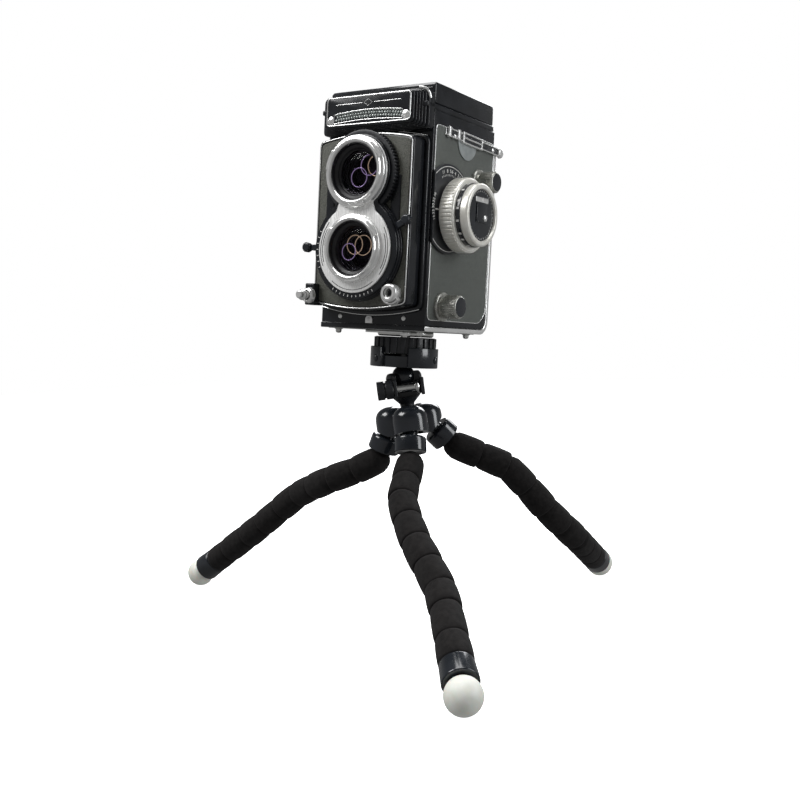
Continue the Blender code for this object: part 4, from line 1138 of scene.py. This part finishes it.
focus = beside(*FOCUS_AXIS)
DIAL_RADIUS = 27.0
dial_centre = beside(18.2, 74.4)
dial = prism(arc((0, 0), DIAL_RADIUS, -130.1, 130.1, 110), 39.4, 41.2, 0.3)
piece("distance_dial_disc", dial, satin_plastic, "camera", dial_centre, ["distance_dial"])
dial_ring = bead([(x, y, 41.2) for x, y in arc((0, 0), 25.4, -131, 131, 120)], 0.4, white_ink, False)


def figures(words, height, radius, start, step, level):
    """Numbers set round a dial, upright to its centre."""
    shapes = []
    for i, word in enumerate(words):
        curve = bpy.data.curves.new("figures", "FONT")
        curve.body = word
        curve.size = height
        curve.align_x, curve.align_y = "CENTER", "CENTER"
        curve.extrude = 0.06
        carrier = bpy.data.objects.new("figures", curve)
        bpy.context.scene.collection.objects.link(carrier)
        shape = as_shape(carrier)
        bmesh.ops.remove_doubles(shape, verts=shape.verts, dist=1e-4)
        angle = start + step * i
        shape.transform(spun(angle) @ moved(radius, 0, level) @ spun(-90))
        shapes.append(shape)
    return shapes


stops = figures(("11", "8", "5.6", "4", "3.5", "4"), 3.0, 22.7, 112, -11.5, 41.25)
stops += figures(("16", "22", "30", "22", "16"), 3.0, 18.0, 158, 11, 41.25)
dial_ticks = round_about(block(-0.6, 0.6, -0.14, 0.14, 41.1, 41.3), white_ink, 20, 20.3, 118, -4.6)
index = block(-15.6, -8, -0.45, 0.45, 41.1, 41.4, 0.1)
index.transform(moved(0, -1.5))
piece("distance_dial_marks", [dial_ring, dial_ticks, index, *stops], white_ink, "camera", dial_centre)

grip = [(0, 41.5), (20, 41.5), (22.1, 43), (22.1, 51.6), (21.4, 52.4), (19.5, 52.4), (0, 52.4)]
flute = block(-0.4, 0.55, -0.82, 0.82, 43.6, 51.4, 0.25)
flutes = round_about(flute, cream, 60, 22.0)
piece("focus_grip", [turned(softened(grip, 0.4), 128), flutes], cream, "focus", focus, ["focus_knob"])
band = softened([(0, 52.3), (19.3, 52.3), (19.3, 55.3), (0, 55.3)], 0.2)
piece("focus_band", turned(band, 128), gloss_plastic, "focus", focus)
marks = []
for start in (40, 54, 76):
    mark = block(-0.1, 0.15, -0.6, 0.6, 52.9, 54.8)
    marks.append(round_about(mark, white_ink, 6, 19.25, start))
piece("focus_band_marks", marks, white_ink, "focus", focus)
rim = [(15.4, 59.2), (15.8, 60.4), (17.9, 60.4), (18.8, 59.5), (18.8, 55.1), (15.4, 55.1)]
piece("focus_rim", turned(softened(rim, 0.35, 3, True), 128, True), cream, "focus", focus)
table = [turned(softened([(0, 55.5), (15.5, 55.5), (15.5, 59.1), (0, 59.1)], 0.15), 96)]
table.append(block(-6, 6, -4.5, 7, 59.0, 59.8, 0.3))
piece("film_table", table, gloss_plastic, "focus", focus)
shapes = [turned(softened([(0, 59), (1.9, 59), (1.9, 60.0), (1.2, 60.5), (0, 60.5)], 0.3), 32)]
shapes[0].transform(moved(4.0, -1.6))
shapes.append(at(moved(0, 9), block(-7.5, 7.5, -1.5, 1.5, 58.9, 59.5, 0.2)))
piece("film_table_metal", shapes, bright, "focus", focus)
table_figures = figures(("10",), 2.6, 9, 90, 0, 59.55)
table_ticks = round_about(block(-0.5, 0.5, -0.12, 0.12, 59.0, 59.22), white_ink, 40, 14.2)
piece("film_table_marks", [*table_figures, table_ticks], white_ink, "focus", focus)

# --- Spool knobs ---
# Two small knurled knobs hold the film spools and pull out to let them go. Their ends are black.

knurled = finish("knurled_metal", "satin_chrome", (0.5, 0.5, 0.46), 0.28, 0.8)
shaded(knurled, noise(knurled, 3, 4), (0.36, 0.36, 0.33), (0.6, 0.6, 0.56))
uneven(knurled, noise(knurled, 1), 0.24, 0.4)
for name, (y, z), radius in (("upper", (54.0, 95.5), 6.7), ("lower", (18.0, 15.6), 7.2)):
    place = beside(y, z)
    body = f"spool_knob_{name}"
    skirt = [(0, 39.3), (radius + 1.7, 39.3), (radius + 1.7, 40.6), (radius + 1.2, 41.2)]
    skirt += [(radius - 1.1, 41.4), (radius - 1.1, 42.6), (radius - 0.35, 43), (radius - 0.35, 52.4)]
    skirt += [(radius - 1, 53), (0, 53)]
    knurls = round_about(block(-0.3, 0.45, -0.3, 0.3, 43.1, 52.2, 0.14), knurled, 34, radius - 0.45)
    piece(f"{body}_metal", [turned(softened(skirt, 0.3), 72), knurls], knurled, body, place, [body])
    end = softened([(0, 52.8), (radius - 1.3, 52.8), (radius - 1.3, 53.25), (0, 53.3)], 0.1)
    piece(f"{body}_face", turned(end, 64), gloss_plastic, body, place)

# --- Strap lugs ---
# Each side has a bright channel with a sprung sleeve that locks the strap's end, riveted at the rear.
# A half-round plate below it keeps the sleeve off the leatherette.

grey_paint = finish("grey_lug_paint", "grey_leatherette", (0.25, 0.27, 0.27), 0.4)
shaded(grey_paint, noise(grey_paint, 4), (0.22, 0.24, 0.24), (0.29, 0.31, 0.31))
slope = moved(0, 12, 120.4) @ spun(-1.9, "X")


def bar(u0, u1, v0, v1, x0, x1, soft=0.0):
    """A block along the sloping bar: u along it, v across it, x out of the side."""
    return at(slope, block(x0, x1, u0, u1, v0, v1, soft))


for side, out in (("left", 1), ("right", -1)):
    lug = camera @ Matrix.Diagonal((out, 1, 1, 1))
    channel = [bar(0, 65.5, -2.3, 2.3, 39.4, 40.0, 0.2)]
    channel += [bar(0.4, 65.2, v0, v0 + 0.7, 39.4, 41.2, 0.2) for v0 in (-2.5, 1.8)]
    channel += [bar(18, 42, -3.4, -2.4, 39.6, 41.8, 0.3), bar(18, 42, 2.4, 3.4, 39.6, 41.8, 0.3)]
    channel.append(bar(18, 42, -0.5, 0.5, 39.6, 41.8, 0.3))
    channel += [bar(18, 19.6, -3, 3, 39.6, 41.8, 0.3), bar(40.4, 42, -3, 3, 39.6, 41.8, 0.3)]
    channel += [bar(1.5, 4, -3.2, 3.2, 39.4, 41.8, 0.5), bar(7.5, 10, -3.0, -0.4, 39.4, 41.8, 0.5)]
    channel.append(bar(12, 15, -2.8, 3.4, 39.4, 41.8, 0.5))
    rivet = turned(softened([(0, 0), (1.6, 0), (1.5, 0.8), (0.8, 1.2), (0, 1.2)], 0.3), 24)
    channel.append(at(slope @ moved(39.9, 57, 0) @ ALONG_X, rivet))
    stud_shape = turned(softened([(0, 0), (3.2, 0), (3.2, 1.6), (2.4, 2.4), (0, 2.6)], 0.4), 40)
    channel.append(at(slope @ moved(39.3, 66.4, 0) @ ALONG_X, stud_shape))
    piece(f"strap_lug_{side}_metal", channel, bright, "camera", lug, [f"strap_lug_{side}"])
    dark = [bar(1, 65, -1.9, 1.9, 39.9, 40.25, 0.1), bar(19, 41, -2.6, 2.6, 40.0, 41.4, 0.1)]
    piece(f"strap_lug_{side}_channel", dark, satin_plastic, "camera", lug)
    half_round = arc((38, 118.2), 11.2, 182, 358, 32)
    piece(f"strap_lug_{side}_plate", sideways(half_round, 39.3, 40.0, 0.2), grey_paint, "camera", lug)

# --- Crank ---
# The film crank folds down along the right side: a round hub, an arm and a grip that turns on its end.

crank_side = camera @ moved(0, 40, 92) @ spun(180) @ ALONG_X
hub_disc = turned(softened([(0, 39.4), (11, 39.4), (11, 42.0), (10.4, 42.4), (0, 42.4)], 0.3), 96)
arm = prism(rounded_rectangle(-4.5, 4.5, -38, 6, 4.4), 42.0, 44.2, 0.5)
boss = turned(softened([(0, 44.0), (3, 44.0), (3, 44.6), (2, 45.2), (0, 45.2)], 0.3), 40)
piece("crank_arm_metal", [hub_disc, arm, boss], bright, "crank", crank_side, ["crank_arm"])
grip = [(0, 44.5), (4.2, 44.5), (4.0, 45.4), (3.3, 47.8), (3.4, 49.6), (4.2, 52.6), (3.8, 53.4), (0, 53.6)]
grip_place = crank_side @ moved(0, -33.5)
piece("crank_grip_turned", turned(softened(grip, 0.6), 56), satin_plastic, "crank_grip", grip_place, ["crank_grip"])

# --- Studio ---
# A white sweep, large soft lights, and the camera.

studio = bpy.context.scene
studio.view_settings.view_transform = "Standard"
studio.view_settings.look = "None"
sweep = finish(
    "white_sweep", "white_rubber", (0.9, 0.9, 0.9), 0.9, Emission_Color=(1, 1, 1, 1), Emission_Strength=1.0,
)
shaded(sweep, noise(sweep, 400), (0.89, 0.89, 0.89), (0.91, 0.91, 0.91))
floor_mesh = bpy.data.meshes.new("floor")
FLOOR_REACH = 4.0
corners = [(x * FLOOR_REACH, y * FLOOR_REACH, 0) for x, y in ((-1, -1), (1, -1), (1, 1), (-1, 1))]
floor_mesh.from_pydata(corners, [], [(0, 1, 2, 3)])
floor_mesh.materials.append(sweep)
floor = bpy.data.objects.new("floor", floor_mesh)
floor.visible_glossy = False
floor.visible_diffuse = False
floor.visible_transmission = False
studio.collection.objects.link(floor)

world = bpy.data.worlds.new("studio")
studio.world = world
world.use_nodes = True
sky = world.node_tree
background = sky.nodes["Background"]
rays = node(sky, "ShaderNodeLightPath")
way = node(sky, "ShaderNodeTexCoord")
height = node(sky, "ShaderNodeSeparateXYZ", Vector=way.outputs["Generated"])
height = total(sky, "MULTIPLY_ADD", height.outputs["Z"], 0.5)


def sky_band(stops):
    """Grey levels from straight down (0) to straight up (1)."""
    ramp = node(sky, "ShaderNodeValToRGB", Fac=height)
    ends = ramp.color_ramp.elements
    for stop, (place, level) in ((ends[0], stops[0]), (ends[1], stops[-1])):
        stop.position = place
        stop.color = (level, level, level, 1)
    for place, level in stops[1:-1]:
        ends.new(place).color = (level, level, level, 1)
    return ramp.outputs[0]


def chosen(when, usual, then):
    made = node(sky, "ShaderNodeMix", {"data_type": "RGBA"})
    sky.links.new(rays.outputs[when], made.inputs[0])
    for socket, value in ((made.inputs[6], usual), (made.inputs[7], then)):
        if isinstance(value, bpy.types.NodeSocket):
            sky.links.new(value, socket)
        else:
            socket.default_value = value
    return made.outputs[2]


fill = sky_band([(0.25, 0.42), (0.62, 0.26)])
mirrored = sky_band([(0.3, 0.20), (0.5, 0.26), (0.75, 0.08)])
mixed = chosen("Is Camera Ray", chosen("Is Glossy Ray", fill, mirrored), (1, 1, 1, 1))
sky.links.new(mixed, background.inputs["Color"])
background.inputs["Strength"].default_value = 1.0

TARGET = Vector((0.02, 0.0, 0.19))


def softbox(name, place, width, height, power, color=(1, 1, 1)):
    lamp = bpy.data.lights.new(name, "AREA")
    lamp.shape = "RECTANGLE"
    lamp.size, lamp.size_y = width, height
    lamp.energy = power
    lamp.color = color
    made = bpy.data.objects.new(name, lamp)
    made.location = place
    made.rotation_euler = (TARGET - Vector(place)).to_track_quat("-Z", "Y").to_euler()
    studio.collection.objects.link(made)


softbox("key_light", (-0.70, -0.80, 1.20), 0.8, 0.7, 17)
softbox("side_light", (1.25, 0.35, 0.60), 0.5, 1.0, 9, (0.96, 0.98, 1.0))
softbox("rear_light", (-0.3, 1.1, 0.8), 0.9, 0.6, 9, (0.97, 0.98, 1.0))
softbox("top_light", (0.0, 0.0, 1.3), 0.9, 0.9, 12)

AZIMUTH, ELEVATION, ROLL = (math.radians(angle) for angle in (34.232, 2.813, -1.52))
STAND = (0.4035, -0.5631, 0.1734)
level = Vector((math.cos(AZIMUTH), math.sin(AZIMUTH), 0))
ahead = Vector((-math.sin(AZIMUTH), math.cos(AZIMUTH), 0))
away = Vector((0, 0, math.sin(ELEVATION))) - ahead * math.cos(ELEVATION)
upright = away.cross(level)
right = level * math.cos(ROLL) + upright * math.sin(ROLL)
lens = bpy.data.cameras.new("view")
lens.sensor_width = 36.0
lens.lens = 46.26
lens.clip_start = 0.01
view = bpy.data.objects.new("view", lens)
axes = Matrix((right, away.cross(right), away)).transposed().to_4x4()
view.matrix_world = Matrix.Translation(STAND) @ axes
studio.collection.objects.link(view)
studio.camera = view
